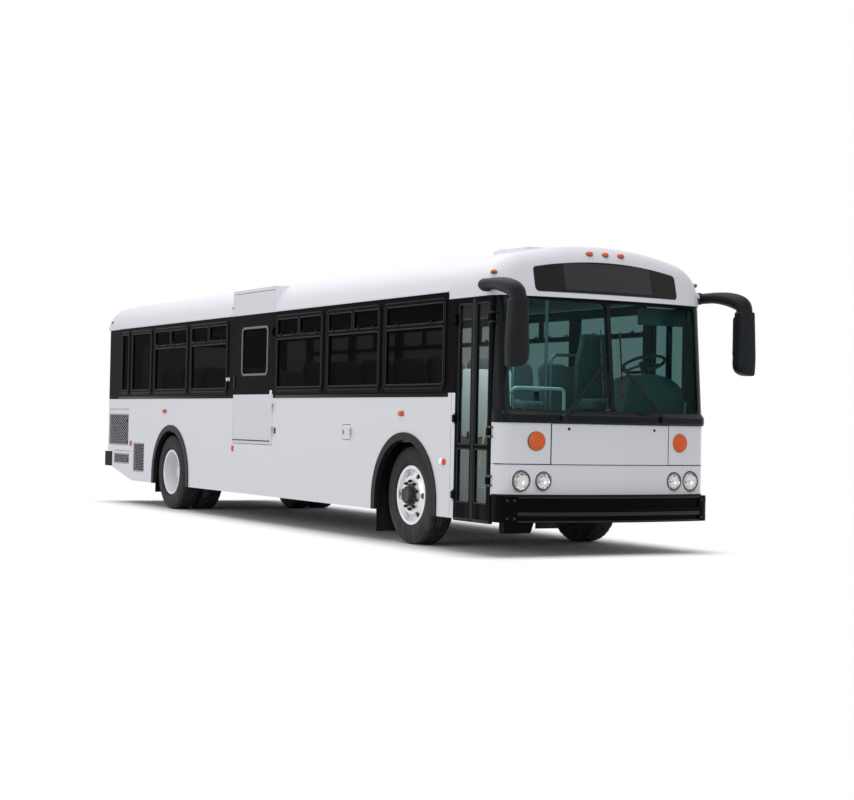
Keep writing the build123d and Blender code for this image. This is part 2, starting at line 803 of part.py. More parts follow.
# Floor, steps and frame
well_front_station = 72.0
well_rear_station = 738.0
well_inner_y = 460.0
with BuildPart() as floor:
    with BuildSketch(Plane.XY.offset(floor_under_z)):
        add(nose_plan(nose_bow, 0, wall, engine_deck_station))
    extrude(amount=floor_thickness)
    block(
        at(well_rear_station), at(well_front_station), -half, -well_inner_y, floor_under_z - 1, floor_z + 1,
        mode=Mode.SUBTRACT,
    )
    block(at(engine_deck_station + 40), at(engine_deck_station), -inner, inner, floor_under_z, engine_deck_z)
    block(rear_x + wall, at(engine_deck_station), -inner, inner, engine_deck_z - 40, engine_deck_z)
nodes["floor"] = floor.part

step_plate = 15.0
steps = [
    (1165.0, 940.0, 390.0, 630.0),
    (940.0, 700.0, 630.0, 870.0),
    (700.0, well_inner_y, 870.0, floor_under_z),
]
well_x0, well_x1 = at(well_rear_station), at(well_front_station)
with BuildPart() as stepwell:
    for outer_y, riser_y, tread_z, next_z in steps:
        block(well_x0, well_x1, -outer_y, -riser_y + step_plate, tread_z - step_plate, tread_z)
        block(well_x0, well_x1, -riser_y, -riser_y + step_plate, tread_z - step_plate, next_z)
    for station in (well_front_station - 12, well_rear_station):
        block(
            at(station + 12), at(station), -steps[0][0], -well_inner_y + step_plate,
            steps[0][2] - step_plate, floor_under_z,
        )
nodes["stepwell"] = stepwell.part

cross_stations = (250, 1150, 2650, 3400, 5100, 6500, 7750, 9250, 11050)
outrigger_stations = (900, 2600, 3500, 4400, 5300, 6200, 7100, 7850, 9400)
with BuildPart() as chassis_frame:
    for hand in sides:
        block(rear_x + 60, nose_x + 40, hand * rail_inner_y, hand * rail_outer_y, rail_bottom_z, rail_top_z)
        rail_y = (hand * rail_inner_y, hand * rail_outer_y)
        block(rear_x, rear_x + 61, *rail_y, rail_bottom_z - 80, rear_wall_z - 12)
        block(nose_x - 60, nose_x + 40, *rail_y, bumper_bottom_z + 50, rail_bottom_z)
        block(nose_x - 60, pad_x, *rail_y, bumper_bottom_z + 50, bumper_top_z - 50)
    for station in cross_stations:
        x = at(station)
        block(x - 30, x + 30, -rail_inner_y, rail_inner_y, rail_bottom_z + 40, rail_top_z - 40)
    for station in outrigger_stations:
        block(at(station) - 30, at(station) + 30, -inner + 10, inner - 10, rail_top_z, floor_under_z)
nodes["chassis_frame"] = chassis_frame.part

eye_radius = 20.0
eye_plate = 30.0
eye_reach = 60.0
eye_rim = 50.0
with BuildPart() as tow_eyes:
    for x in (at(150), rear_x + 300):
        for hand in sides:
            inside, outside = hand * (rail_inner_y + 15), hand * (rail_outer_y + eye_reach)
            with BuildSketch(Plane.XY.offset(rail_bottom_z - eye_plate)):
                with Locations((x, (inside + outside) / 2)):
                    Rectangle(2 * eye_rim, abs(outside - inside))
                with Locations((x, outside)):
                    Circle(eye_rim)
                    Circle(eye_radius, mode=Mode.SUBTRACT)
            extrude(amount=eye_plate)
nodes["tow_eyes"] = tow_eyes.part

# Driveline
diff_nose_station = rear_axle_station + 260
with BuildPart() as engine:
    block(at(10900), at(9850), -340, 340, 520, 1400)
    for station in (10050, 10750):
        block(at(station) - 50, at(station) + 50, -rail_inner_y, rail_inner_y, 720, 820)
    block(at(9850), at(9420), -200, 200, 440, 900)
    with Locations(Plane.YZ.offset(at(9420))):
        with Locations((0, tyre_radius)):
            Cylinder(45, 9420 - diff_nose_station - fit_gap, align=(Align.CENTER, Align.CENTER, Align.MIN))
nodes["engine"] = engine.part

with BuildPart() as fuel_tank:
    block(at(4900), at(3600), -330, 330, 420, 760)
    fillet(fuel_tank.edges().filter_by(Axis.X), 60)
    for station in (3800, 4700):
        block(at(station) - 40, at(station) + 40, -rail_inner_y, rail_inner_y, 690, 740)
nodes["fuel_tank"] = fuel_tank.part


# A leaf pack from hanger to hanger over an axle's pad
def leaf_pack(x, hand, pad_z, span):
    with BuildPart() as pack:
        with BuildSketch(Plane.XZ.offset(-hand * rail_mid_y - 35)):
            with BuildLine():
                ThreePointArc((x - span, rail_bottom_z - 45), (x, pad_z), (x + span, rail_bottom_z - 45))
                Line((x + span, rail_bottom_z - 45), (x + span, rail_bottom_z))
                Line((x + span, rail_bottom_z), (x + span - 90, rail_bottom_z))
                ThreePointArc((x + span - 90, rail_bottom_z), (x, pad_z + 45), (x - span + 90, rail_bottom_z))
                Line((x - span + 90, rail_bottom_z), (x - span, rail_bottom_z))
                Line((x - span, rail_bottom_z), (x - span, rail_bottom_z - 45))
            make_face()
        extrude(amount=70)
    return pack.part


boss_radius = 48.0
boss_half = 60.0
front_x = at(front_axle_station)
rear_axle_x = at(rear_axle_station)
front_pad_z = 545.0
rear_pad_z = 605.0
with BuildPart() as front_axle:
    block(front_x - 45, front_x + 45, -620, 620, 400, 490)
    for hand in sides:
        block(front_x - 40, front_x + 40, hand * 560, hand * kingpin_y, 460, tyre_radius + 40)
        with Locations((front_x, hand * kingpin_y, tyre_radius)):
            Cylinder(boss_radius, 2 * boss_half)
            Cylinder(kingpin_radius + bearing_gap, 4 * boss_half, mode=Mode.SUBTRACT)
        block(front_x - 60, front_x + 60, hand * (rail_mid_y - 35), hand * (rail_mid_y + 35), 480, front_pad_z)
        add(leaf_pack(front_x, hand, front_pad_z - 1, 680))
nodes["front_axle"] = front_axle.part

hub_end_rear = half - rear_tyre_inset - tyre_width / 2 - 60
with BuildPart() as rear_axle:
    with Locations(Plane.XZ):
        with Locations((rear_axle_x, tyre_radius)):
            Cylinder(75, 2 * 560)
            Cylinder(spindle_radius, 2 * hub_end_rear)
    with Locations(Plane.YZ.offset(rear_axle_x - 180)):
        with Locations((0, tyre_radius)):
            Cylinder(190, 380, align=(Align.CENTER, Align.CENTER, Align.MIN))
            Cylinder(85, 80, align=(Align.CENTER, Align.CENTER, Align.MAX))
    for hand in sides:
        block(
            rear_axle_x - 60, rear_axle_x + 60, hand * (rail_mid_y - 35), hand * (rail_mid_y + 35),
            tyre_radius, rear_pad_z,
        )
        add(leaf_pack(rear_axle_x, hand, rear_pad_z - 1, 720))
nodes["rear_axle"] = rear_axle.part

# Front knuckles: an ear above and below the axle's eye, the pin through it, and the wheel's spindle
ear = 40.0
front_wheel_y = half - front_tyre_inset - tyre_width / 2
rear_wheel_y = half - rear_tyre_inset - tyre_width / 2
for hand, name in ((-1, "knuckle_right"), (1, "knuckle_left")):
    with BuildPart() as knuckle:
        with Locations((front_x, hand * kingpin_y, tyre_radius)):
            Cylinder(kingpin_radius, 2 * (boss_half + ear))
            for end in (-1, 1):
                with Locations((0, 0, end * (boss_half + fit_gap + ear / 2))):
                    Cylinder(boss_radius, ear)
                    block(-boss_radius, boss_radius, 0, hand * 95, -ear / 2, ear / 2)
            block(-boss_radius, boss_radius, hand * 58, hand * 95, -boss_half - ear, boss_half + ear)
        with Locations(Plane.XZ.offset(-hand * (kingpin_y + 80))):
            with Locations((front_x, tyre_radius)):
                Cylinder(
                    spindle_radius, front_wheel_y + 100 - kingpin_y - 80,
                    align=(Align.CENTER, Align.CENTER, Align.MAX if hand > 0 else Align.MIN),
                )
        block(
            front_x - 260, front_x, hand * (kingpin_y - 10), hand * (kingpin_y + 40),
            tyre_radius - boss_half - ear, tyre_radius - boss_half - fit_gap,
        )
    nodes[name] = knuckle.part

# Wheels: profiles of distance from the axle and distance outwards from the tyre's middle
barrel_outer = bead_radius - fit_gap
barrel_inner = barrel_outer - 15
flange_radius = 304.0
hub_radius = 110.0
hand_holes = 6
hand_hole_circle = 229.0
hand_hole_radius = 32.0


def barrel_face(middle):
    with BuildSketch() as face:
        with Locations(((barrel_inner + barrel_outer) / 2, middle)):
            Rectangle(barrel_outer - barrel_inner, 2 * bead_half + 26)
        for end in (-1, 1):
            with Locations(((barrel_inner + flange_radius) / 2, middle + end * (bead_half + fit_gap + 6.3))):
                Rectangle(flange_radius - barrel_inner, 12.6)
    return face.sketch


def tyre_face(middle):
    edge = tyre_width / 2
    with BuildSketch() as face:
        with BuildLine():
            Line((bead_radius, -bead_half), (bead_radius, bead_half))
            for hand in sides:
                bead = (bead_radius + 18, hand * bead_half)
                shoulder = (474, hand * (edge - 12))
                Line((bead_radius, hand * bead_half), bead)
                ThreePointArc(bead, (400, hand * edge), shoulder)
                ThreePointArc(shoulder, (496, hand * (edge - 22)), (tyre_radius, hand * (edge - 42)))
            Line((tyre_radius, edge - 42), (tyre_radius, 42 - edge))
        make_face()
    with BuildSketch() as moved:
        with Locations((0, middle)):
            add(face.sketch)
    return moved.sketch


# A plane through a wheel's middle: x forward from the axle and y outwards
def wheel_plane(x, y, hand):
    return Plane(origin=(x, hand * y, tyre_radius), x_dir=(1, 0, 0), z_dir=(0, 0, hand))


for hand, name in ((-1, "right"), (1, "left")):
    plane = wheel_plane(front_x, front_wheel_y, hand)
    axle = Axis(plane.origin, (0, hand, 0))
    with BuildPart() as rim:
        with BuildSketch(plane):
            add(barrel_face(0))
            with BuildLine():
                Polyline(
                    (barrel_inner + 2, 50), (190, 105), (hub_radius, 105), (hub_radius, -60), (0, -60),
                    (0, 185), (75, 185), (85, 119), (195, 119), (barrel_inner + 2, 66), close=True,
                )
            make_face()
        revolve(axis=axle)
        with Locations(Plane.XZ.offset(-hand * (front_wheel_y + 20))):
            with Locations((front_x, tyre_radius)):
                with PolarLocations(hand_hole_circle, hand_holes):
                    Cylinder(hand_hole_radius, 300, mode=Mode.SUBTRACT)
        with Locations(Plane.XZ.offset(-hand * front_wheel_y)):
            with Locations((front_x, tyre_radius)):
                Cylinder(spindle_radius + bearing_gap, 2 * 101, mode=Mode.SUBTRACT)
    nodes["wheel_front_" + name] = rim.part
    with BuildPart() as tyre:
        with BuildSketch(plane):
            add(tyre_face(0))
        revolve(axis=axle)
    nodes["tyre_front_" + name] = tyre.part

    plane = wheel_plane(rear_axle_x, rear_wheel_y, hand)
    axle = Axis(plane.origin, (0, hand, 0))
    between = -dual_spacing / 2
    with BuildPart() as rims:
        with BuildSketch(plane):
            add(barrel_face(0))
            add(barrel_face(-dual_spacing))
            with BuildLine():
                Polyline(
                    (barrel_inner + 2, -70), (205, between + 15), (hub_radius, between + 15), (hub_radius, -20),
                    (85, 10), (0, 10), (0, -340), (hub_radius, -340), (hub_radius, between - 15),
                    (205, between - 15),
                    (barrel_inner + 2, -dual_spacing + 70), (barrel_inner + 2, -dual_spacing + 86),
                    (230, between), (barrel_inner + 2, -86), close=True,
                )
            make_face()
        revolve(axis=axle)
        with Locations(Plane.XZ.offset(-hand * (rear_wheel_y - dual_spacing / 2))):
            with Locations((rear_axle_x, tyre_radius)):
                with PolarLocations(hand_hole_circle, hand_holes):
                    Cylinder(hand_hole_radius, 300, mode=Mode.SUBTRACT)
        with Locations(Plane.XZ.offset(-hand * (rear_wheel_y - 200))):
            with Locations((rear_axle_x, tyre_radius)):
                Cylinder(spindle_radius + bearing_gap, 2 * 141, mode=Mode.SUBTRACT)
    nodes["wheels_rear_" + name] = rims.part
    with BuildPart() as tyres:
        with BuildSketch(plane):
            add(tyre_face(0))
            add(tyre_face(-dual_spacing))
        revolve(axis=axle)
    nodes["tyres_rear_" + name] = tyres.part

# Entry door: two leaves, each hung on its outer post, with a glass above and below a middle rail
leaf_width = (door_rear_station - door_front_station - 2 * door_gap - leaf_gap) / 2
leaf_top_z = cap_z - 6
leaf_stile = 58.0
leaf_inner_stile = 36.0
leaf_glass_bottom_z = 497.0
leaf_rail_z = 1031.0
leaf_rail = 45.0
leaf_head = 60.0
leaf_glass_set = 14.0
leaf_rows = [
    ("entry_door_front", front_leaf_hinge, -1, forward, upward),
    ("entry_door_rear", rear_leaf_hinge, 1, backward, downward),
]
for name, (x, y, heights), reach, to_jamb, along in leaf_rows:
    outer_edge = x + reach * door_gap / 2
    free_edge = outer_edge + reach * leaf_width
    glass_x = (outer_edge + reach * leaf_stile + free_edge - reach * leaf_inner_stile) / 2
    glass_width = leaf_width - leaf_stile - leaf_inner_stile
    glass_rows = [
        (leaf_glass_bottom_z, leaf_rail_z - leaf_rail / 2),
        (leaf_rail_z + leaf_rail / 2, leaf_top_z - leaf_head),
    ]
    with BuildPart() as leaf:
        block(outer_edge, free_edge, -half, -half + leaf_thickness, door_bottom_z, leaf_top_z)
        with BuildSketch(wall_plane(-1)):
            for z0, z1 in glass_rows:
                with Locations((glass_x, (z0 + z1) / 2)):
                    RectangleRounded(glass_width, z1 - z0, 20)
        extrude(amount=-leaf_thickness, mode=Mode.SUBTRACT)
        for z in heights:
            hinge_barrel(hinge_plane((x, y, z), to_jamb, along), hinge_out)
    nodes[name] = leaf.part
    with BuildPart() as leaf_glass:
        with BuildSketch(wall_plane(-1, -leaf_glass_set)):
            for z0, z1 in glass_rows:
                with Locations((glass_x, (z0 + z1) / 2)):
                    RectangleRounded(glass_width - 2 * fit_gap, z1 - z0 - 2 * fit_gap, 20 - fit_gap)
        extrude(amount=-glass_thickness)
    nodes[name + "_glass"] = leaf_glass.part

# Lift door, hung on its front edge
lift_glass = (5309.0, 6088.0, 1800.0, 2375.0)
lift_corner = 60.0
with BuildPart() as lift_door:
    block(
        at(lift_rear_station - door_gap), at(lift_front_station + door_gap),
        -half, -half + lift_thickness, lift_bottom_z + door_gap, lift_top_z - door_gap,
    )
    near, far, z0, z1 = lift_glass
    with BuildSketch(wall_plane(-1)):
        with Locations((at((near + far) / 2), (z0 + z1) / 2)):
            RectangleRounded(far - near, z1 - z0, lift_corner)
    extrude(amount=-lift_thickness, mode=Mode.SUBTRACT)
    x, y, heights = lift_hinge
    for z in heights:
        hinge_barrel(hinge_plane((x, y, z), forward, upward), hinge_out)
nodes["lift_door"] = lift_door.part

with BuildPart() as lift_door_glass:
    with BuildSketch(wall_plane(-1, -glass_set)):
        with Locations((at((near + far) / 2), (z0 + z1) / 2)):
            RectangleRounded(far - near - 2 * fit_gap, z1 - z0 - 2 * fit_gap, lift_corner - fit_gap)
    extrude(amount=-glass_thickness)
nodes["lift_door_glass"] = lift_door_glass.part

# Engine door, hung on its top edge
with BuildPart() as engine_door:
    block(
        rear_x, rear_x + leaf_thickness, -engine_door_half + door_gap, engine_door_half - door_gap,
        engine_door_bottom_z + door_gap, engine_door_top_z - door_gap,
    )
    for louvre in range(9):
        z = engine_door_bottom_z + 150 + louvre * 45
        block(rear_x - 1, rear_x + leaf_thickness + 1, -500, 500, z, z + 20, mode=Mode.SUBTRACT)
    for y in engine_hinge_y:
        hinge_barrel(
            hinge_plane((rear_x - hinge_out, y, engine_door_top_z - door_gap / 2), upward, (0, 1, 0)), hinge_out
        )
nodes["engine_door"] = engine_door.part

# Fuel filler lid, hung on its front edge
with BuildPart() as fuel_lid:
    with BuildSketch(wall_plane(-1)):
        with Locations((at(fuel_front_station + fuel_length / 2), fuel_mid_z)):
            RectangleRounded(fuel_length - 2 * door_gap, fuel_height - 2 * door_gap, 16)
    extrude(amount=-fuel_lid_thickness)
    hinge_barrel(fuel_plane, hinge_out)
nodes["fuel_lid"] = fuel_lid.part

# Roof hatch, hung on its rear edge
with BuildPart() as roof_hatch:
    block(
        hatch_plane_x + door_gap / 2, at(hatch_station) + hatch_size / 2 + 20,
        -hatch_size / 2 - 20, hatch_size / 2 + 20, hatch_seat_z + fit_gap, hatch_seat_z + hatch_thickness,
    )
    for y in hatch_hinge_y:
        hinge_barrel(hinge_plane((hatch_plane_x, y, hatch_pin_z), backward, (0, -1, 0)), hinge_out)
nodes["roof_hatch"] = roof_hatch.part

# Lamps
with BuildPart() as headlamps:
    for y, radius in headlamps_at:
        add(round_lamp(nose_skin(y, headlamp_z) - 35 + fit_gap, y, headlamp_z, radius - fit_gap, 46, 20))
nodes["headlamps"] = headlamps.part

# Amber lamps on the side walls: station, height, length, height of the lens
side_ambers = [
    (982.0, 872.0, 150.0, 70.0),
    (1847.0, 1342.0, 75.0, 45.0),
    (8788.0, 1338.0, 75.0, 45.0),
    (6336.0, 881.0, 50.0, 70.0),
]
side_reds = [(10173.0, 867.0, 60.0, 75.0), (10980.0, 1420.0, 75.0, 45.0)]
lamp_out = 22.0
roof_lamp_y = (-184.0, 0.0, 184.0)
roof_lamp_station = 30.0
roof_lamp_z = 2905.0
corner_lamp = (125.0, 1185.0, 2694.0)


def dome_lamp(x, y, z):
    with BuildPart() as lamp:
        block(x - 40, x + 40, y - 45, y + 45, z - 22, z + 22)
        add(dome_outside, mode=Mode.SUBTRACT)
    return lamp.part


with BuildPart() as amber_lamps:
    for y in roof_lamp_y:
        add(dome_lamp(at(roof_lamp_station), y, roof_lamp_z))
    for hand in sides:
        station, y, z = corner_lamp
        add(dome_lamp(at(station), hand * y, z))
        lamp_x = nose_skin(turn_lamp_y, turn_lamp_z) - 22 + fit_gap
        add(round_lamp(lamp_x, hand * turn_lamp_y, turn_lamp_z, turn_lamp_radius - fit_gap, 34, 22))
        for station, z, length, height in side_ambers:
            if hand > 0 and station < driver_pillar_station:
                continue
            block(
                at(station) - length / 2, at(station) + length / 2, hand * half, hand * (half + lamp_out),
                z - height / 2, z + height / 2,
            )
        block(rear_x - lamp_out, rear_x, hand * 1020 - 70, hand * 1020 + 70, 1180, 1320)
nodes["amber_lamps"] = amber_lamps.part

with BuildPart() as red_lamps:
    for hand in sides:
        for station, z, length, height in side_reds:
            block(
                at(station) - length / 2, at(station) + length / 2, hand * half, hand * (half + lamp_out),
                z - height / 2, z + height / 2,
            )
        block(rear_x - lamp_out, rear_x, hand * 1020 - 70, hand * 1020 + 70, 1000, 1140)
nodes["red_lamps"] = red_lamps.part

# Wipers: a foot on the dash trim, an arm to the elbow and a blade beside the middle post
wiper_foot = (580.0, 1325.0)
wiper_elbow = (120.0, 1815.0)
blade_low = (112.0, 1490.0)
blade_high = (112.0, 2165.0)
with BuildPart() as wipers:
    for hand in sides:
        foot = (nose_skin(*wiper_foot) + 66, hand * wiper_foot[0], wiper_foot[1])
        elbow = (nose_skin(*wiper_elbow) + 34, hand * wiper_elbow[0], wiper_elbow[1])
        low = (nose_skin(*blade_low) + 16, hand * blade_low[0], blade_low[1])
        high = (nose_skin(*blade_high) + 16, hand * blade_high[0], blade_high[1])
        middle = tuple((a + b) / 2 for a, b in zip(low, high))
        add(rod((nose_skin(*wiper_foot) - 20, foot[1], foot[2]), (foot[0] + 14, foot[1], foot[2]), 24))
        add(rod(foot, elbow, 9))
        add(rod(elbow, middle, 9))
        add(rod(low, high, 9))
    add(raked_nose(0), mode=Mode.SUBTRACT)
    add(cowl.part, mode=Mode.SUBTRACT)
nodes["wipers"] = wipers.part

# Mirrors: an arm from a boss on the cap, sloping forward and down into a tall head
mirror_tip_x = nose_x + mirror_reach
mirror_depth = 158.0
arm_radius = 54.0
collar_radius = 62.0
arm_y = half + 71
head_y = half + 91
head_top_z = 2400.0
head_bottom_z = 1774.0
shoulder_ball = 80.0
arm_bend = 120.0


# The head's outline seen from the front, as distances outwards from its middle line
def mirror_outline(hand):
    def place(out, z):
        return (hand * (head_y + out), z)

    with BuildSketch() as outline:
        with BuildLine():
            Line(place(-84, head_top_z), place(-106, 1890))
            ThreePointArc(place(-106, 1890), place(-70, 1806), place(12, head_bottom_z))
            Polyline(
                place(12, head_bottom_z), place(100, head_bottom_z), place(110, 1960), place(84, head_top_z),
                place(-84, head_top_z),
            )
        make_face()
    return outline.sketch


with BuildPart() as mirrors:
    for hand in sides:
        head_x = mirror_tip_x - mirror_depth / 2
        base_x = at(mirror_base_station)
        foot = (base_x, hand * (half + mirror_boss), mirror_base_z)
        arm_points = [
            (base_x, hand * arm_y, mirror_base_z), (base_x + 240, hand * (arm_y + 8), mirror_base_z - 4),
            (head_x, hand * head_y, head_top_z + 44), (head_x, hand * head_y, head_top_z - 60),
        ]
        add(rod(foot, arm_points[0], collar_radius))
        add(tube(arm_points, arm_bend, arm_radius))
        with Locations(arm_points[0]):
            Sphere(arm_radius)
        with Locations((head_x, hand * head_y, head_top_z)):
            Sphere(shoulder_ball)
        with BuildPart() as head:
            with BuildSketch(Plane.YZ.offset(head_x - mirror_depth / 2)):
                add(mirror_outline(hand))
            extrude(amount=mirror_depth)
            with BuildSketch(Plane.XY.offset(head_bottom_z - 50)):
                with Locations((head_x, hand * head_y)):
                    RectangleRounded(mirror_depth, 236, 70)
            extrude(amount=head_top_z - head_bottom_z + 100, mode=Mode.INTERSECT)
        add(head.part)
nodes["mirrors"] = mirrors.part

# Grilles: a frame with level bars
with BuildPart() as grilles:
    for hand in sides:
        for near, far, bottom, top in grille_places:
            with BuildSketch(wall_plane(hand, -6)):
                with Locations((at((near + far) / 2), (bottom + top) / 2)):
                    length, height = far - near, top - bottom
                    Rectangle(length - 2 * fit_gap, height - 2 * fit_gap)
                    Rectangle(length - 2 * grille_frame, height - 2 * grille_frame, mode=Mode.SUBTRACT)
                count = int((top - bottom - 2 * grille_frame) / grille_pitch)
                for bar in range(1, count + 1):
                    z = bottom + grille_frame + bar * (top - bottom - 2 * grille_frame) / (count + 1)
                    with Locations((at((near + far) / 2), z)):
                        Rectangle(far - near - 2 * grille_frame + 2, grille_bar)
            extrude(amount=hand * grille_thickness)
nodes["grilles"] = grilles.part

# Rubber round the wheel arches, and mud flaps
with BuildPart() as arch_flares:
    for hand in sides:
        for centre in (front_axle_station, rear_arch_station):
            with BuildSketch(wall_plane(hand, flare_out)):
                with Locations((at(centre), arch_z)):
                    Circle(arch_radius - fit_gap)
                    Circle(arch_radius - flare_width, mode=Mode.SUBTRACT)
                with Locations((at(centre), arch_z - 500)):
                    Rectangle(2 * arch_radius, 1000, mode=Mode.SUBTRACT)
                for end in (-1, 1):
                    leg_x = at(centre) + end * (arch_radius - fit_gap - flare_width / 2)
                    with Locations((leg_x, (skirt_z + arch_z) / 2)):
                        Rectangle(flare_width, arch_z - skirt_z)
            extrude(amount=hand * (flare_out + wall))
nodes["arch_flares"] = arch_flares.part

flap_thickness = 10.0
flap_rows = [
    (front_axle_station + arch_radius + 15, 90.0, 860.0, 1150.0),
    (rear_axle_station + arch_radius - 20, 200.0, 600.0, 1150.0),
]
with BuildPart() as mud_flaps:
    for hand in sides:
        for station, bottom, inside, outside in flap_rows:
            x = at(station)
            block(x - flap_thickness, x, hand * inside, hand * outside, bottom, floor_under_z)
nodes["mud_flaps"] = mud_flaps.part

# Passenger benches: two round-shouldered seats on a frame of four legs, made once and set out in rows
bench_width = 920.0
bench_wall_gap = 40.0
seat_width = 440.0
seat_z = 300.0
cushion_depth = 450.0
cushion_height = 110.0
back_height = 545.0
back_thickness = 75.0
back_shoulder = 120.0
back_lean = (0.985, 0, 0.17)
leg = 30.0
kerb_rows = (1500, 2250, 3000, 3750, 4500, 6950, 7700, 8450, 9200)
left_rows = (2250, 3000, 3750, 4500, 5250, 6000, 6750, 7500, 8250, 9000)
bench_y = inner - bench_wall_gap - bench_width / 2
bench_places = [(at(station), -bench_y, floor_z) for station in kerb_rows]
bench_places += [(at(station), bench_y, floor_z) for station in left_rows]
seat_y = (bench_width - seat_width) / 2

with BuildPart() as bench:
    for hand in sides:
        with BuildSketch(Plane.XZ.offset(-hand * seat_y - seat_width / 2)):
            with Locations((30 + cushion_depth / 2, seat_z + cushion_height / 2)):
                RectangleRounded(cushion_depth, cushion_height, 45)
        extrude(amount=seat_width)
        hip = (20, hand * seat_y, seat_z + 20)
        with BuildSketch(Plane(origin=hip, x_dir=(0, 1, 0), z_dir=back_lean)) as back:
            with Locations((0, back_height / 2)):
                Rectangle(seat_width, back_height)
            fillet(back.vertices().sort_by(Axis.Z)[-2:], back_shoulder)
        extrude(amount=back_thickness)
with BuildPart() as seats:
    with Locations(*bench_places):
        add(bench.part)
nodes["seats"] = seats.part

with BuildPart() as bench_frame:
    for y in (60 - bench_width / 2, bench_width / 2 - 60):
        for x in (60, 400):
            block(x, x + leg, y - leg / 2, y + leg / 2, 0, seat_z - leg)
        block(40, 450, y - leg / 2, y + leg / 2, seat_z - leg, seat_z)
    block(220, 220 + leg, 60 - bench_width / 2, bench_width / 2 - 60, seat_z - leg, seat_z)
with BuildPart() as seat_frames:
    with Locations(*bench_places):
        add(bench_frame.part)
nodes["seat_frames"] = seat_frames.part

# Driver's place: a high-backed seat on a pedestal, and a dash that rises in a round hood before it
driver_y = 700.0
driver_back_z = 2250.0
with BuildPart() as driver_seat:
    with Locations((at(1000), driver_y, floor_z)):
        Cylinder(150, 300, align=(Align.CENTER, Align.CENTER, Align.MIN))
    with BuildSketch(Plane.XY.offset(floor_z + 300)):
        with Locations((at(1000), driver_y)):
            RectangleRounded(470, 500, 80)
    extrude(amount=140)
    with BuildSketch(Plane.YZ.offset(at(1260))) as back:
        with BuildLine():
            Polyline(
                (driver_y - 230, floor_z + 380), (driver_y + 230, floor_z + 380), (driver_y + 235, 1900),
                (driver_y + 150, driver_back_z), (driver_y - 150, driver_back_z), (driver_y - 235, 1900),
                close=True,
            )
        make_face()
        fillet(back.vertices().sort_by(Axis.Y)[-4:], 60)
    extrude(amount=110)
nodes["driver_seat"] = driver_seat.part

dash_front_station = 130.0
dash_rear_station = 430.0
dash_top_z = 1400.0
hood_top_z = 1780.0
with BuildPart() as dashboard:
    with BuildSketch(Plane.YZ.offset(at(dash_rear_station))):
        with BuildLine():
            Polyline(
                (1080, dash_top_z), (1080, floor_z), (-420, floor_z), (-420, dash_top_z - 20),
                (330, dash_top_z), (420, hood_top_z - 60),
            )
            ThreePointArc((420, hood_top_z - 60), (700, hood_top_z), (1000, hood_top_z - 90))
            ThreePointArc((1000, hood_top_z - 90), (1060, hood_top_z - 160), (1080, dash_top_z))
        make_face()
    extrude(amount=dash_rear_station - dash_front_station)
nodes["dashboard"] = dashboard.part

wheel_centre = (at(300), driver_y, 1885)
wheel_radius = 215.0
wheel_tilt = 0.4
column_drop = 260.0
with BuildPart() as steering_wheel:
    with Locations(Plane(origin=wheel_centre, z_dir=(-wheel_tilt, 0, 1))):
        Torus(wheel_radius, 15)
        Cylinder(45, 40)
        for angle in (90, 210, 330):
            with Locations(Rot(0, 0, angle)):
                block(0, wheel_radius, -14, 14, -7, 7)
    column_foot = (wheel_centre[0] + wheel_tilt * column_drop, driver_y, wheel_centre[2] - column_drop)
    add(rod(column_foot, wheel_centre, 38))
    add(dashboard.part, mode=Mode.SUBTRACT)
nodes["steering_wheel"] = steering_wheel.part

# Rails: a hoop with a screen behind the steps, one behind the driver, and two upright poles
rail_radius = 17.0
rail_bend = 90.0
hoops = [(850.0, -1120.0, -560.0, 560.0), (1480.0, 360.0, 1100.0, 900.0)]
poles = [(1480.0, 300.0), (850.0, -500.0)]
pole_top_z = 2905.0
with BuildPart() as handrails:
    for station, y0, y1, height in hoops:
        x = at(station)
        hoop = [(x, y0, floor_z), (x, y0, floor_z + height), (x, y1, floor_z + height), (x, y1, floor_z)]
        add(tube(hoop, rail_bend, rail_radius))
        block(x - 6, x + 6, y0, y1, floor_z + 60, floor_z + height - 120)
    for station, y in poles:
        with Locations((at(station), y, floor_z)):
            Cylinder(rail_radius, pole_top_z - floor_z, align=(Align.CENTER, Align.CENTER, Align.MIN))
nodes["handrails"] = handrails.part

os.makedirs("parts", exist_ok=True)
for name, part in nodes.items():
    part.label = name
    export_step(part, f"parts/{name}.step")
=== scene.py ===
import json
import math

import bmesh
import bpy
from mathutils import Matrix, Vector

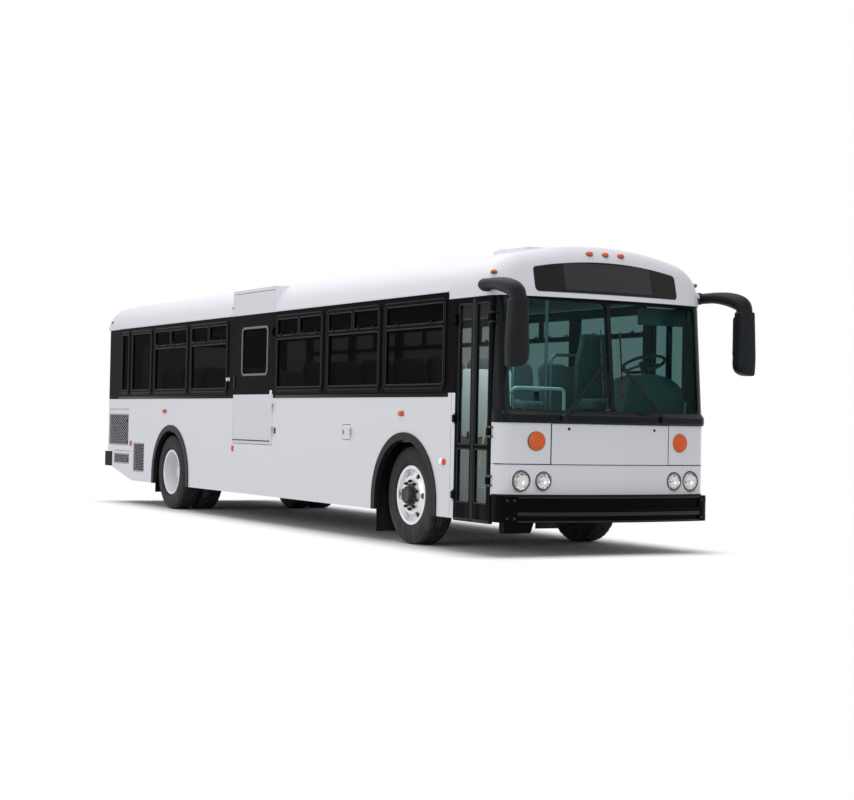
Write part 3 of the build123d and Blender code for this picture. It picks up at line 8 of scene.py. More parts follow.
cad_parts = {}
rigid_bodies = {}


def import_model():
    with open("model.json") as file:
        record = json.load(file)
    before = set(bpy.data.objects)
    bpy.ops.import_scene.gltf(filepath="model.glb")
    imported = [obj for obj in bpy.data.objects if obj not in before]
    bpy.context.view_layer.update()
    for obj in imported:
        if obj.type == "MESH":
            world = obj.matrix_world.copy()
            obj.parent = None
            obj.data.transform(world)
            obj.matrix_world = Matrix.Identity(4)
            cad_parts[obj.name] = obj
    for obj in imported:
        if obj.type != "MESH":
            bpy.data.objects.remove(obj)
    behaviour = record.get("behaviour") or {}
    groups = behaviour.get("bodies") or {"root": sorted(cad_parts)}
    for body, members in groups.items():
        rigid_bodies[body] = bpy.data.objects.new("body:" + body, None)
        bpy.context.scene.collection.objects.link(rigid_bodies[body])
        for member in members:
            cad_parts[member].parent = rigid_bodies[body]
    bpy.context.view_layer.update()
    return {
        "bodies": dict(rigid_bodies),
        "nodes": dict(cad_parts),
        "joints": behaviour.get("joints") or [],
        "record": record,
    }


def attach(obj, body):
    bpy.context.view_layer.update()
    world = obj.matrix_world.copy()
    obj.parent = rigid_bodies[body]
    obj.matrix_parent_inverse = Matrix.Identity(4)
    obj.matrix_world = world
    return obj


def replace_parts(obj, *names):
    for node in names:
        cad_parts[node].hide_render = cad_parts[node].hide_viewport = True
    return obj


scene = bpy.context.scene
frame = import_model()
nodes = frame["nodes"]
# Main sizes in metres; stations count back from noseX
noseX, half, axleZ = 5.36, 1.219, 0.505
overhang, wheelbase, bodyLength = 1.78, 6.83, 11.26
frontX = noseX - overhang
rearX = frontX - wheelbase
tailX = noseX - bodyLength
print("frame loaded", len(nodes), "nodes")


def at(station):
    return noseX - station


# Camera fitted to the photograph
shot = {"place": (19.1252, -9.5692, 1.2517), "yaw": 28.978, "pitch": 0.76, "roll": 1.173, "lens": 72.43}


def placeCamera(spec):
    yaw, pitch, roll = (math.radians(spec[k]) for k in ("yaw", "pitch", "roll"))
    ahead = Vector((-math.cos(yaw) * math.cos(pitch), math.sin(yaw) * math.cos(pitch), math.sin(pitch)))
    across = Vector((math.sin(yaw), math.cos(yaw), 0))
    over = across.cross(ahead)
    right = across * math.cos(roll) + over * math.sin(roll)
    up = over * math.cos(roll) - across * math.sin(roll)
    data = bpy.data.cameras.new("camera")
    data.sensor_width, data.sensor_fit, data.lens = 36, "HORIZONTAL", spec["lens"]
    data.clip_start, data.clip_end = 0.5, 200
    data.dof.use_dof = False
    camera = bpy.data.objects.new("camera", data)
    scene.collection.objects.link(camera)
    turn = Matrix((right, up, -ahead)).transposed().to_4x4()
    camera.matrix_world = Matrix.Translation(spec["place"]) @ turn
    scene.camera = camera


placeCamera(shot)


# Shader helpers
def newMaterial(name):
    material = bpy.data.materials.new(name)
    material.use_nodes = True
    tree = material.node_tree
    tree.nodes.clear()
    out = tree.nodes.new("ShaderNodeOutputMaterial")
    return material, tree, out


def addNode(tree, kind, inputs=None, **settings):
    node = tree.nodes.new(kind)
    for key, value in settings.items():
        setattr(node, key, value)
    for key, value in (inputs or {}).items():
        if isinstance(value, bpy.types.NodeSocket):
            tree.links.new(value, node.inputs[key])
        else:
            node.inputs[key].default_value = value
    return node


def mathNode(tree, operation, a, b=0.0, clamp=False):
    return addNode(tree, "ShaderNodeMath", {0: a, 1: b}, operation=operation, use_clamp=clamp).outputs[0]


def mixColour(tree, factor, a, b, blend="MIX"):
    a, b = (end if isinstance(end, bpy.types.NodeSocket) else (*end[:3], 1) for end in (a, b))
    node = addNode(tree, "ShaderNodeMix", {0: factor, 6: a, 7: b}, data_type="RGBA", blend_type=blend)
    return node.outputs[2]


def ramp(tree, value, low, high, a=0.0, b=1.0):
    inputs = {"Value": value, "From Min": low, "From Max": high, "To Min": a, "To Max": b}
    return addNode(tree, "ShaderNodeMapRange", inputs, interpolation_type="SMOOTHSTEP").outputs[0]


def objectPlace(tree):
    return addNode(tree, "ShaderNodeTexCoord").outputs["Object"]


def axisOf(tree, vector, axis):
    return addNode(tree, "ShaderNodeSeparateXYZ", {"Vector": vector}).outputs[axis]


def groupTree(name, ins, outs):
    group = bpy.data.node_groups.new(name, "ShaderNodeTree")
    for label, kind, value in ins:
        socket = group.interface.new_socket(label, in_out="INPUT", socket_type=kind)
        if value is not None:
            socket.default_value = value
    for label, kind in outs:
        group.interface.new_socket(label, in_out="OUTPUT", socket_type=kind)
    return group, group.nodes.new("NodeGroupInput"), group.nodes.new("NodeGroupOutput")


def bandMask(tree, value, low, high):
    above, below = mathNode(tree, "GREATER_THAN", value, low), mathNode(tree, "LESS_THAN", value, high)
    return mathNode(tree, "MULTIPLY", above, below)


# Road dust low down, broad mottling and a fine grain, shared by every opaque finish
weatherSpec = {"broad": 1.7, "streak": (9.0, 9.0, 0.7), "run": 2.0, "marks": (0.38, 0.72), "dustHeights": (0.95, 0.3),
               "dust": (0.33, 0.31, 0.28), "dustRough": 0.5, "grainRough": 0.06, "bump": 0.002}


def makeWeather():
    spec = weatherSpec
    group, start, end = groupTree(
        "weather",
        [("Colour", "NodeSocketColor", (0.8, 0.8, 0.8, 1)), ("Dust", "NodeSocketFloat", 0.3),
         ("Mottle", "NodeSocketFloat", 0.03), ("Grain", "NodeSocketFloat", 300.0), ("Depth", "NodeSocketFloat", 0.05)],
        [("Colour", "NodeSocketColor"), ("Rough", "NodeSocketFloat"), ("Normal", "NodeSocketVector")])
    given = start.outputs
    place = objectPlace(group)
    broad = addNode(group, "ShaderNodeTexNoise",
                    {"Vector": place, "Scale": spec["broad"], "Detail": 5.0, "Roughness": 0.6}).outputs["Fac"]
    streak = addNode(group, "ShaderNodeMapping", {"Vector": place, "Scale": spec["streak"]}).outputs[0]
    run = addNode(group, "ShaderNodeTexNoise", {"Vector": streak, "Scale": spec["run"], "Detail": 4.0}).outputs["Fac"]
    fine = addNode(group, "ShaderNodeTexNoise",
                   {"Vector": place, "Scale": given["Grain"], "Detail": 2.0}).outputs["Fac"]
    shade = mathNode(group, "MULTIPLY", mathNode(group, "SUBTRACT", broad, 0.5), given["Mottle"])
    shade = mathNode(group, "ADD", mathNode(group, "MULTIPLY", shade, 2.0), 1.0)
    bright = addNode(group, "ShaderNodeVectorMath", {0: given["Colour"], "Scale": shade}, operation="SCALE").outputs[0]
    low = ramp(group, axisOf(group, place, "Z"), *spec["dustHeights"])
    mark = mathNode(group, "MULTIPLY", ramp(group, run, *spec["marks"]), low)
    dust = mathNode(group, "MULTIPLY", mark, given["Dust"], clamp=True)
    rough = mathNode(group, "ADD", mathNode(group, "MULTIPLY", dust, spec["dustRough"]),
                     mathNode(group, "MULTIPLY", fine, spec["grainRough"]))
    bump = addNode(group, "ShaderNodeBump", {"Height": fine, "Strength": given["Depth"], "Distance": spec["bump"]})
    group.links.new(mixColour(group, dust, bright, spec["dust"]), end.inputs["Colour"])
    group.links.new(rough, end.inputs["Rough"])
    group.links.new(bump.outputs[0], end.inputs["Normal"])
    return group


weather = makeWeather()


def painted(name, colour, rough=0.3, metal=0.0, dust=0.05, mottle=0.03, grain=300.0, depth=0.05, coat=0.0,
            gloss=0.5, black=None, proud=None, lining=None):
    material, tree, out = newMaterial(name)
    wear = addNode(tree, "ShaderNodeGroup", {"Colour": (*colour, 1), "Dust": dust, "Mottle": mottle, "Grain": grain,
                                             "Depth": depth}, node_tree=weather)
    if black:  # a dark band between two heights
        band = bandMask(tree, axisOf(tree, objectPlace(tree), "Z"), *black)
        tree.links.new(mixColour(tree, band, colour, blackColour), wear.inputs["Colour"])
        coat = ramp(tree, band, 0.0, 1.0, coat, 0.0)
    if proud:  # dark fittings that stand out past the kerb-side wall
        outside = mathNode(tree, "LESS_THAN", axisOf(tree, objectPlace(tree), "Y"), proud)
        tree.links.new(mixColour(tree, outside, colour, blackColour), wear.inputs["Colour"])
    if lining:  # downward-facing faces take a darker colour: painted shade on the shell's undersides
        slope = addNode(tree, "ShaderNodeNewGeometry").outputs["True Normal"]
        down = mathNode(tree, "LESS_THAN", axisOf(tree, slope, "Z"), -0.02)
        tree.links.new(mixColour(tree, down, colour, lining), wear.inputs["Colour"])
    shader = addNode(tree, "ShaderNodeBsdfPrincipled",
                     {"Base Color": wear.outputs["Colour"], "Metallic": metal, "Normal": wear.outputs["Normal"],
                      "Roughness": mathNode(tree, "ADD", wear.outputs["Rough"], rough, clamp=True),
                      "Coat Weight": coat, "Coat Roughness": 0.08, "Specular IOR Level": gloss})
    tree.links.new(shader.outputs[0], out.inputs["Surface"])
    material.diffuse_color = (*colour, 1)
    return material


# Thin tinted glass: light through it takes the tint at each face, with a weak wavy reflection on top and a painted
# reflection veil, the body colour laid over the pane by film and at glancing angles
def glass(name, tint, body, shine, rough=0.02, film=0.0, farTint=None):
    material, tree, out = newMaterial(name)
    place = objectPlace(tree)
    wave = addNode(tree, "ShaderNodeTexNoise", {"Vector": place, "Scale": 1.3, "Detail": 1.0})
    bump = addNode(tree, "ShaderNodeBump", {"Height": wave.outputs["Fac"], "Strength": 0.06, "Distance": 0.02})
    haze = addNode(tree, "ShaderNodeTexNoise", {"Vector": place, "Scale": 6.0, "Detail": 6.0})
    shade = (*tint, 1)
    if farTint:  # the driver's side is tinted less
        across = axisOf(tree, place, "Y")
        shade = mixColour(tree, mathNode(tree, "GREATER_THAN", across, 0.0), tint, farTint)
    through = addNode(tree, "ShaderNodeBsdfTransparent", {"Color": shade})
    surface = addNode(tree, "ShaderNodeBsdfPrincipled",
                      {"Base Color": (*body, 1), "Normal": bump.outputs[0], "IOR": 1.5,
                       "Roughness": ramp(tree, haze.outputs["Fac"], 0.3, 0.8, rough, rough + 0.05)})
    slant = addNode(tree, "ShaderNodeLayerWeight", {"Blend": 0.5, "Normal": bump.outputs[0]}).outputs["Facing"]
    facing = mathNode(tree, "ADD", mathNode(tree, "POWER", slant, 5.0), 0.04, True)
    # film lays the body colour evenly over the pane: a painted reflection veil
    solid = mathNode(tree, "ADD", mathNode(tree, "MULTIPLY", facing, shine), film, clamp=True)
    mixed = addNode(tree, "ShaderNodeMixShader", {0: solid, 1: through.outputs[0], 2: surface.outputs[0]})
    tree.links.new(mixed.outputs[0], out.inputs["Surface"])
    material.diffuse_color = (*tint, 0.4)
    return material


# Dark sign glass with the paler display behind its middle
signSpec = {"reach": 0.505, "heights": (2.548, 2.815), "dots": 60.0, "glass": (0.009, 0.009, 0.010),
            "display": ((0.042, 0.042, 0.043), (0.034, 0.034, 0.035))}


def signMaterial():
    material, tree, out = newMaterial("signGlass")
    place = objectPlace(tree)
    across = mathNode(tree, "LESS_THAN", mathNode(tree, "ABSOLUTE", axisOf(tree, place, "Y")), signSpec["reach"])
    mask = mathNode(tree, "MULTIPLY", across, bandMask(tree, axisOf(tree, place, "Z"), *signSpec["heights"]))
    dots = addNode(tree, "ShaderNodeTexVoronoi", {"Vector": place, "Scale": signSpec["dots"], "Randomness": 0.0})
    display = mixColour(tree, ramp(tree, dots.outputs["Distance"], 0.25, 0.5), *signSpec["display"])
    film = addNode(tree, "ShaderNodeTexNoise", {"Vector": place, "Scale": 5.0, "Detail": 5.0})
    shader = addNode(tree, "ShaderNodeBsdfPrincipled",
                     {"Base Color": mixColour(tree, mask, signSpec["glass"], display), "Specular IOR Level": 0.16,
                      "Roughness": ramp(tree, film.outputs["Fac"], 0.3, 0.8, 0.1, 0.2)})
    tree.links.new(shader.outputs[0], out.inputs["Surface"])
    return material


# Seat cloth: a woven check of warp and weft with a soft sheen
def clothMaterial(name, colour, second, pitch=140.0):
    material, tree, out = newMaterial(name)
    place, thread = objectPlace(tree), {"Scale": pitch, "Distortion": 0.4}
    tilted = addNode(tree, "ShaderNodeMapping", {"Vector": place, "Rotation": (0.6, 0.5, 0.2)}).outputs[0]
    warp = addNode(tree, "ShaderNodeTexWave", {"Vector": place, **thread}, bands_direction="Y")
    weft = addNode(tree, "ShaderNodeTexWave", {"Vector": tilted, **thread}, bands_direction="Z")
    fleck = addNode(tree, "ShaderNodeTexVoronoi", {"Vector": place, "Scale": 70.0})
    weave = mathNode(tree, "MULTIPLY", warp.outputs["Fac"], weft.outputs["Fac"])
    pale = ramp(tree, fleck.outputs["Distance"], 0.12, 0.3, 0.7, 0.0)
    base = mixColour(tree, pale, colour, second)
    bump = addNode(tree, "ShaderNodeBump", {"Height": weave, "Strength": 0.35, "Distance": 0.002})
    shader = addNode(tree, "ShaderNodeBsdfPrincipled",
                     {"Base Color": mixColour(tree, weave, base, second, "MULTIPLY"), "Normal": bump.outputs[0],
                      "Roughness": ramp(tree, weave, 0.0, 1.0, 0.9, 0.7), "Sheen Weight": 0.3})
    tree.links.new(shader.outputs[0], out.inputs["Surface"])
    material.diffuse_color = (*colour, 1)
    return material


whiteColour, blackColour = (0.79, 0.79, 0.82), (0.0045, 0.0045, 0.0055)


def bodyPaint(name, rough=0.28, dust=0.06, **more):
    return painted(name, whiteColour, rough, dust=dust, mottle=0.012, depth=0.03, **more)


looks = {
    "white": bodyPaint("whitePaint", dust=0.03, coat=0.4),
    "liftWhite": bodyPaint("liftPaint", coat=0.5, gloss=0.01, black=(1.555, 2.543)),
    "rearWhite": bodyPaint("rearPaint", coat=0.5, gloss=0.01, black=(1.512, 2.538)),
    "black": painted("blackPaint", blackColour, 0.3, mottle=0.1, depth=0.03, gloss=0.01),
    "sash": painted("sashBlack", (0.0075, 0.0075, 0.0085), 0.3, mottle=0.1, grain=260.0, depth=0.04, gloss=0.06),
    # Roof and caps: faces that point down are painted darker, as shade
    "roofWhite": bodyPaint("roofPaint", 0.34, coat=0.1, gloss=0.25, lining=(0.055, 0.06, 0.062)),
    # The windshield frame's black carries a faint teal cast: a painted teal reflection
    "frameBlackTealReflection": painted("frameBlackTealReflection", (0.0035, 0.006, 0.007), 0.2, mottle=0.1, depth=0.02, gloss=0.12),
    "fasciaWhite": bodyPaint("fasciaPaint", coat=0.4, proud=-1.2195),
    # Each glass's second colour and film paint a reflection veil over it
    "sideGlass": glass("sideGlass", (0.25, 0.255, 0.265), (0.10, 0.10, 0.11), 0.12, film=0.014,
                       farTint=(0.41, 0.42, 0.42)),
    "frontGlass": glass("frontGlass", (0.66, 0.92, 0.91), (0.02, 0.05, 0.05), 0.7, film=0.06),
    "doorGlass": glass("doorGlass", (0.94, 0.975, 0.97), (0.05, 0.06, 0.06), 0.6, film=0.04),
    "sign": signMaterial(),
    "rubber": painted("bumperRubber", (0.0032, 0.0032, 0.004), 0.34, dust=0.0, mottle=0.15, grain=160.0, depth=0.03,
                      gloss=0.025),
    "plastic": painted("blackPlastic", (0.007, 0.007, 0.008), 0.35, mottle=0.2, depth=0.08, gloss=0.14),
    "seal": painted("greySeal", (0.017, 0.017, 0.019), 0.5, mottle=0.2, depth=0.1, gloss=0.16),
    "trim": painted("trimGrey", (0.115, 0.115, 0.122), 0.3, metal=0.4, mottle=0.12, grain=260.0),
    "paleTrim": painted("paleTrim", (0.40, 0.40, 0.42), 0.4, mottle=0.08, depth=0.06),
    "bladeRed": painted("bladeRed", (0.045, 0.010, 0.010), 0.5, mottle=0.1, depth=0.06),
    "mirror": painted("mirrorShell", (0.009, 0.010, 0.012), 0.42, mottle=0.12, depth=0.08, gloss=0.13),
    "mirrorGlass": painted("mirrorGlass", (0.75, 0.76, 0.78), 0.0, metal=1.0, dust=0.0, mottle=0.02, depth=0.005),
    "chrome": painted("lampChrome", (0.80, 0.81, 0.82), 0.08, metal=1.0, dust=0.0, mottle=0.05, depth=0.02),
    "bowl": painted("lampBowl", (0.74, 0.74, 0.73), 0.06, metal=0.95, dust=0.0, depth=0.02),
    "lens": glass("lampLens", (0.98, 0.985, 0.98), (0.8, 0.8, 0.8), 0.8, film=0.04),
    "clear": painted("lampClear", (0.62, 0.63, 0.62), 0.06, metal=0.3, dust=0.0, depth=0.02, coat=0.8),
    "amber": painted("lampAmber", (0.80, 0.105, 0.008), 0.14, dust=0.0, mottle=0.1, grain=90.0, depth=0.08, coat=0.1,
                     gloss=0.25),
    # Paler amber for the turn lamps' rings and spokes: painted highlights
    "amberRingHighlight": painted("amberRingHighlight", (0.90, 0.27, 0.035), 0.12, dust=0.0, mottle=0.08, grain=90.0, depth=0.05,
                         coat=0.1, gloss=0.25),
    "paleWall": painted("paleWall", (0.62, 0.65, 0.65), 0.5, mottle=0.05, grain=200.0, depth=0.06),
    "flare": painted("flareRubber", (0.008, 0.008, 0.009), 0.42, mottle=0.2, grain=200.0, depth=0.06, gloss=0.16),
    "rubberGloss": painted("rubberGloss", (0.005, 0.005, 0.006), 0.26, dust=0.0, mottle=0.15, grain=160.0, depth=0.02,
                           gloss=0.26),
    "red": painted("lampRed", (0.42, 0.012, 0.010), 0.16, dust=0.0, mottle=0.12, grain=90.0, depth=0.12, coat=0.4),
    "steel": painted("frameSteel", (0.020, 0.021, 0.023), 0.55, dust=0.2, mottle=0.25, grain=160.0, depth=0.2,
                     gloss=0.3),
    "floorSheet": painted("floorSheet", (0.15, 0.155, 0.16), 0.6, mottle=0.2, grain=220.0, depth=0.2),
    "step": painted("stepSteel", (0.60, 0.61, 0.60), 0.45, metal=0.1, mottle=0.1, grain=180.0, depth=0.12),
    "cast": painted("castSteel", (0.035, 0.034, 0.033), 0.6, metal=0.3, dust=0.2, mottle=0.3, grain=120.0, depth=0.35),
    "nut": painted("nutSteel", (0.030, 0.029, 0.029), 0.4, metal=0.5, mottle=0.3, grain=200.0, depth=0.2),
    "alloy": painted("wheelAlloy", (0.88, 0.88, 0.90), 0.26, metal=0.5, dust=0.03, mottle=0.02, grain=200.0,
                     depth=0.02),
    "wheelWhite": painted("wheelWhite", (0.88, 0.88, 0.90), 0.32, dust=0.08, mottle=0.04, depth=0.04),
    "tyre": painted("tyreRubber", (0.020, 0.020, 0.023), 0.6, dust=0.12, mottle=0.25, grain=260.0, depth=0.2,
                    gloss=0.22),
    "seat": clothMaterial("seatCloth", (0.17, 0.18, 0.20), (0.30, 0.31, 0.34)),
    "driverCloth": clothMaterial("driverCloth", (0.020, 0.032, 0.040), (0.035, 0.05, 0.06)),
    "dash": painted("dashPlastic", (0.030, 0.031, 0.033), 0.5, mottle=0.12, grain=600.0, depth=0.2, gloss=0.35),
    "rail": painted("railSteel", (0.22, 0.22, 0.22), 0.3, metal=0.6, mottle=0.08),
    "paleRail": painted("railPale", (0.74, 0.55, 0.52), 0.35, mottle=0.04, depth=0.04),
    "wiper": painted("wiperBlack", (0.010, 0.010, 0.011), 0.24, mottle=0.1, depth=0.04, gloss=0.14),
    "tan": painted("railTan", (0.80, 0.68, 0.52), 0.4, mottle=0.08),
    "mesh": painted("meshGrey", (0.40, 0.40, 0.42), 0.4, metal=0.1, mottle=0.1, depth=0.08),
    "dark": painted("bayDark", (0.008, 0.008, 0.009), 0.8, mottle=0.3, grain=80.0, depth=0.1, gloss=0.1),
}

# What each CAD node is made of
finish = {
    "white": "side_panel_right side_panel_left access_panel engine_door fuel_lid roof_hatch",
    "liftWhite": "lift_door",
    "rearWhite": "rear_wall",
    "roofWhite": "roof front_cap rear_cap",
    "fasciaWhite": "front_fascia",
    "frameBlackTealReflection": "windshield_frame",
    "doorGlass": "entry_door_front_glass entry_door_rear_glass",
    "plastic": "steering_wheel",
    "black": "window_bands window_sashes entry_door_front entry_door_rear wipers",
    "sideGlass": "window_glass lift_door_glass",
    "frontGlass": "windshield_glass",
    "sign": "sign_glass",
    "rubber": "bumpers",
    "flare": "arch_flares mud_flaps",
    "mirror": "mirrors",
    "clear": "headlamps",
    "amber": "amber_lamps",
    "red": "red_lamps",
    "steel": "chassis_frame tow_eyes fuel_tank seat_frames",
    "floorSheet": "floor",
    "step": "stepwell",
    "cast": "engine front_axle rear_axle knuckle_left knuckle_right",
    "alloy": "wheel_front_left wheel_front_right",
    "wheelWhite": "wheels_rear_left wheels_rear_right",
    "tyre": "tyre_front_left tyre_front_right tyres_rear_left tyres_rear_right",
    "seat": "seats",
    "driverCloth": "driver_seat",
    "dash": "dashboard",
    "rail": "handrails",
    "mesh": "grilles",
}
for look, names in finish.items():
    for name in names.split():
        nodes[name].data.materials.clear()
        nodes[name].data.materials.append(looks[look])
print("materials set", len(looks))


# Mesh helpers
def newShapes(count):
    return [bmesh.new() for _ in range(count)]


def polar(radius, angle):
    return radius * math.cos(angle), radius * math.sin(angle)


def makePiece(name, shape, look, body, bend=35.0):
    bmesh.ops.remove_doubles(shape, verts=shape.verts, dist=1e-5)
    bmesh.ops.recalc_face_normals(shape, faces=shape.faces)
    mesh = bpy.data.meshes.new(name)
    shape.to_mesh(mesh)
    shape.free()
    return addPiece(name, mesh, look, body, bend)


def addPiece(name, mesh, look, body, bend=35.0):
    mesh.materials.clear()
    mesh.materials.append(looks[look])
    mesh.polygons.foreach_set("use_smooth", [True] * len(mesh.polygons))
    mesh.set_sharp_from_angle(angle=math.radians(bend))
    piece = bpy.data.objects.new(name, mesh)
    scene.collection.objects.link(piece)
    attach(piece, body)
    return piece


# A rounded rectangle as points with their outward directions
def roundLoop(u0, u1, v0, v1, radius, steps=5):
    corners = ((u1 - radius, v1 - radius, 0), (u0 + radius, v1 - radius, 90),
               (u0 + radius, v0 + radius, 180), (u1 - radius, v0 + radius, 270))
    loop = []
    for u, v, start in corners:
        for step in range(steps + 1):
            angle = math.radians(start + 90 * step / steps)
            loop.append((u + radius * math.cos(angle), v + radius * math.sin(angle), math.cos(angle), math.sin(angle)))
    return loop


# The same about a middle
def padLoop(u, v, wide, tall, radius, steps=5):
    return roundLoop(u - wide, u + wide, v - tall, v + tall, radius, steps)


# A closed profile of (across, out) carried round a loop
def sweepLoop(shape, loop, profile, place):
    rings = []
    for u, v, du, dv in loop:
        rings.append([shape.verts.new(place(u + du * across, v + dv * across, out)) for across, out in profile])
    for a, b in zip(rings, rings[1:] + rings[:1]):
        for i in range(len(profile)):
            j = (i + 1) % len(profile)
            shape.faces.new((a[i], a[j], b[j], b[i]))


# A plate with a rounded outline and a softened edge
def plate(shape, loop, thick, place, soft=0.003):
    rows = [(0.0, 0.0), (0.0, thick - soft), (-soft, thick)]
    rings = [[shape.verts.new(place(u + du * across, v + dv * across, out)) for u, v, du, dv in loop]
             for across, out in rows]
    for a, b in zip(rings, rings[1:]):
        for i in range(len(loop)):
            j = (i + 1) % len(loop)
            shape.faces.new((a[i], a[j], b[j], b[i]))
    shape.faces.new(rings[0][::-1])
    shape.faces.new(rings[-1])


# A profile of (radius, along) turned about an axis
def turned(shape, profile, place, steps=32, closed=False):
    rings = []
    for radius, along in profile:
        if radius < 1e-6:
            rings.append([shape.verts.new(place(0, 0, along))])
        else:
            ring = [place(*polar(radius, 2 * math.pi * i / steps), along) for i in range(steps)]
            rings.append([shape.verts.new(spot) for spot in ring])
    for a, b in zip(rings, rings[1:] + (rings[:1] if closed else [])):
        for i in range(steps):
            j = (i + 1) % steps
            if len(a) == 1 and len(b) > 1:
                shape.faces.new((a[0], b[i], b[j]))
            elif len(b) == 1 and len(a) > 1:
                shape.faces.new((a[i], b[0], a[j]))
            elif len(a) > 1:
                shape.faces.new((a[i], b[i], b[j], a[j]))


# A block with rounded edges
def slab(shape, low, high, soft=0.003, steps=2):
    low, high = Vector(low), Vector(high)
    made = bmesh.ops.create_cube(shape, size=1.0)["verts"]
    for vert in made:
        vert.co = Vector([(low[i] + high[i]) / 2 + vert.co[i] * abs(high[i] - low[i]) for i in range(3)])
    edges = list({edge for vert in made for edge in vert.link_edges})
    bmesh.ops.bevel(shape, geom=edges, offset=soft, segments=steps, profile=0.5, affect="EDGES")


# A round bar that follows points, with closed ends
def pipe(shape, points, radius, steps=10):
    points = [Vector(p) for p in points]
    radii = radius if isinstance(radius, list) else [radius] * len(points)
    side = Vector((0, 0, 1)) if abs((points[1] - points[0]).normalized().z) < 0.9 else Vector((1, 0, 0))
    rings = []
    for i, point in enumerate(points):
        ahead = (points[min(i + 1, len(points) - 1)] - points[max(i - 1, 0)]).normalized()
        side = (side - ahead * side.dot(ahead)).normalized()
        other = ahead.cross(side)
        rings.append([shape.verts.new(point + side * radii[i] * math.cos(2 * math.pi * k / steps)
                                      + other * radii[i] * math.sin(2 * math.pi * k / steps)) for k in range(steps)])
    for a, b in zip(rings, rings[1:]):
        for k in range(steps):
            j = (k + 1) % steps
            shape.faces.new((a[k], a[j], b[j], b[k]))
    shape.faces.new(rings[0][::-1])
    shape.faces.new(rings[-1])


def curvePoints(points, steps=6):
    data = bpy.data.curves.new("route", "CURVE")
    data.dimensions = "3D"
    data.resolution_u = steps
    line = data.splines.new("NURBS")
    line.points.add(len(points) - 1)
    for slot, point in zip(line.points, points):
        slot.co = (*point, 1)
    line.order_u, line.use_endpoint_u = 3, True
    holder = bpy.data.objects.new("route", data)
    scene.collection.objects.link(holder)
    mesh = bpy.data.meshes.new_from_object(holder)
    places = [vert.co.copy() for vert in mesh.vertices]
    bpy.data.objects.remove(holder)
    bpy.data.meshes.remove(mesh)
    return places


def onWall(hand):
    return lambda u, v, out: (u, hand * (half + out), v)


def onWheel(x, y, hand):
    return lambda u, v, out: (x + u, hand * (y + out), axleZ + v)


# Geometry Nodes helpers
def pieceTree(name, inputs):
    tree = bpy.data.node_groups.new(name, "GeometryNodeTree")
    tree.interface.new_socket("Geometry", in_out="INPUT", socket_type="NodeSocketGeometry")
    keys = {}
    for label, kind, value in inputs + [("Finish", "NodeSocketMaterial", None)]:
        socket = tree.interface.new_socket(label, in_out="INPUT", socket_type=kind)
        if value is not None:
            socket.default_value = value
        keys[label] = socket.identifier
    tree.interface.new_socket("Geometry", in_out="OUTPUT", socket_type="NodeSocketGeometry")
    return tree, keys, tree.nodes.new("NodeGroupInput").outputs, tree.nodes.new("NodeGroupOutput")


def closeTree(tree, geometry, start, end):
    real = addNode(tree, "GeometryNodeRealizeInstances", {"Geometry": geometry})
    skin = addNode(tree, "GeometryNodeSetMaterial", {"Geometry": real.outputs[0], "Material": start["Finish"]})
    tree.links.new(skin.outputs[0], end.inputs["Geometry"])


def runTree(tree, keys, base, values, look):
    holder = bpy.data.objects.new("holder", base)
    scene.collection.objects.link(holder)
    modifier = holder.modifiers.new("tree", "NODES")
    modifier.node_group = tree
    for label, value in values.items():
        modifier[keys[label]] = value
    modifier[keys["Finish"]] = looks[look]
    mesh = bpy.data.meshes.new_from_object(holder.evaluated_get(bpy.context.evaluated_depsgraph_get()))
    holder.modifiers.clear()
    bpy.data.objects.remove(holder)
    return mesh


# Rivets, screws and nuts: a many-sided head with a smaller crown, set on points and turned to their aim
def fastenerTree():
    tree, keys, start, end = pieceTree("fasteners", [
        ("Head Radius", "NodeSocketFloat", 0.006), ("Head Height", "NodeSocketFloat", 0.003),
        ("Sides", "NodeSocketInt", 8), ("Crown Radius", "NodeSocketFloat", 0.003),
        ("Crown Height", "NodeSocketFloat", 0.001)])
    taper = mathNode(tree, "MULTIPLY", start["Head Radius"], 0.9)
    head = addNode(tree, "GeometryNodeMeshCone", {"Vertices": start["Sides"], "Radius Bottom": start["Head Radius"],
                                                  "Radius Top": taper, "Depth": start["Head Height"]})
    small = mathNode(tree, "MULTIPLY", start["Crown Radius"], 0.7)
    crown = addNode(tree, "GeometryNodeMeshCone", {"Vertices": 8, "Radius Bottom": start["Crown Radius"],
                                                   "Radius Top": small, "Depth": start["Crown Height"]})
    lift = addNode(tree, "ShaderNodeCombineXYZ", {"Z": start["Head Height"]})
    raised = addNode(tree, "GeometryNodeTransform", {"Geometry": crown.outputs["Mesh"], "Translation": lift.outputs[0]})
    both = addNode(tree, "GeometryNodeJoinGeometry")
    tree.links.new(head.outputs["Mesh"], both.inputs[0])
    tree.links.new(raised.outputs[0], both.inputs[0])
    aim = addNode(tree, "GeometryNodeInputNamedAttribute", {"Name": "aim"}, data_type="FLOAT_VECTOR")
    turn = addNode(tree, "FunctionNodeAlignRotationToVector", {"Vector": aim.outputs["Attribute"]}, axis="Z")
    spread = addNode(tree, "GeometryNodeInstanceOnPoints", {"Points": start["Geometry"], "Instance": both.outputs[0],
                                                            "Rotation": turn.outputs[0]})
    closeTree(tree, spread.outputs[0], start, end)
    return tree, keys


fasteners, fastenerKeys = fastenerTree()


def fasten(name, spots, sizes, look, body):
    base = bpy.data.meshes.new(name)
    base.from_pydata([spot for spot, aim in spots], [], [])
    aims = base.attributes.new("aim", "FLOAT_VECTOR", "POINT")
    aims.data.foreach_set("vector", [v for spot, aim in spots for v in aim])
    values = dict(zip(("Head Radius", "Head Height", "Sides", "Crown Radius", "Crown Height"), sizes))
    return addPiece(name, runTree(fasteners, fastenerKeys, base, values, look), look, body)
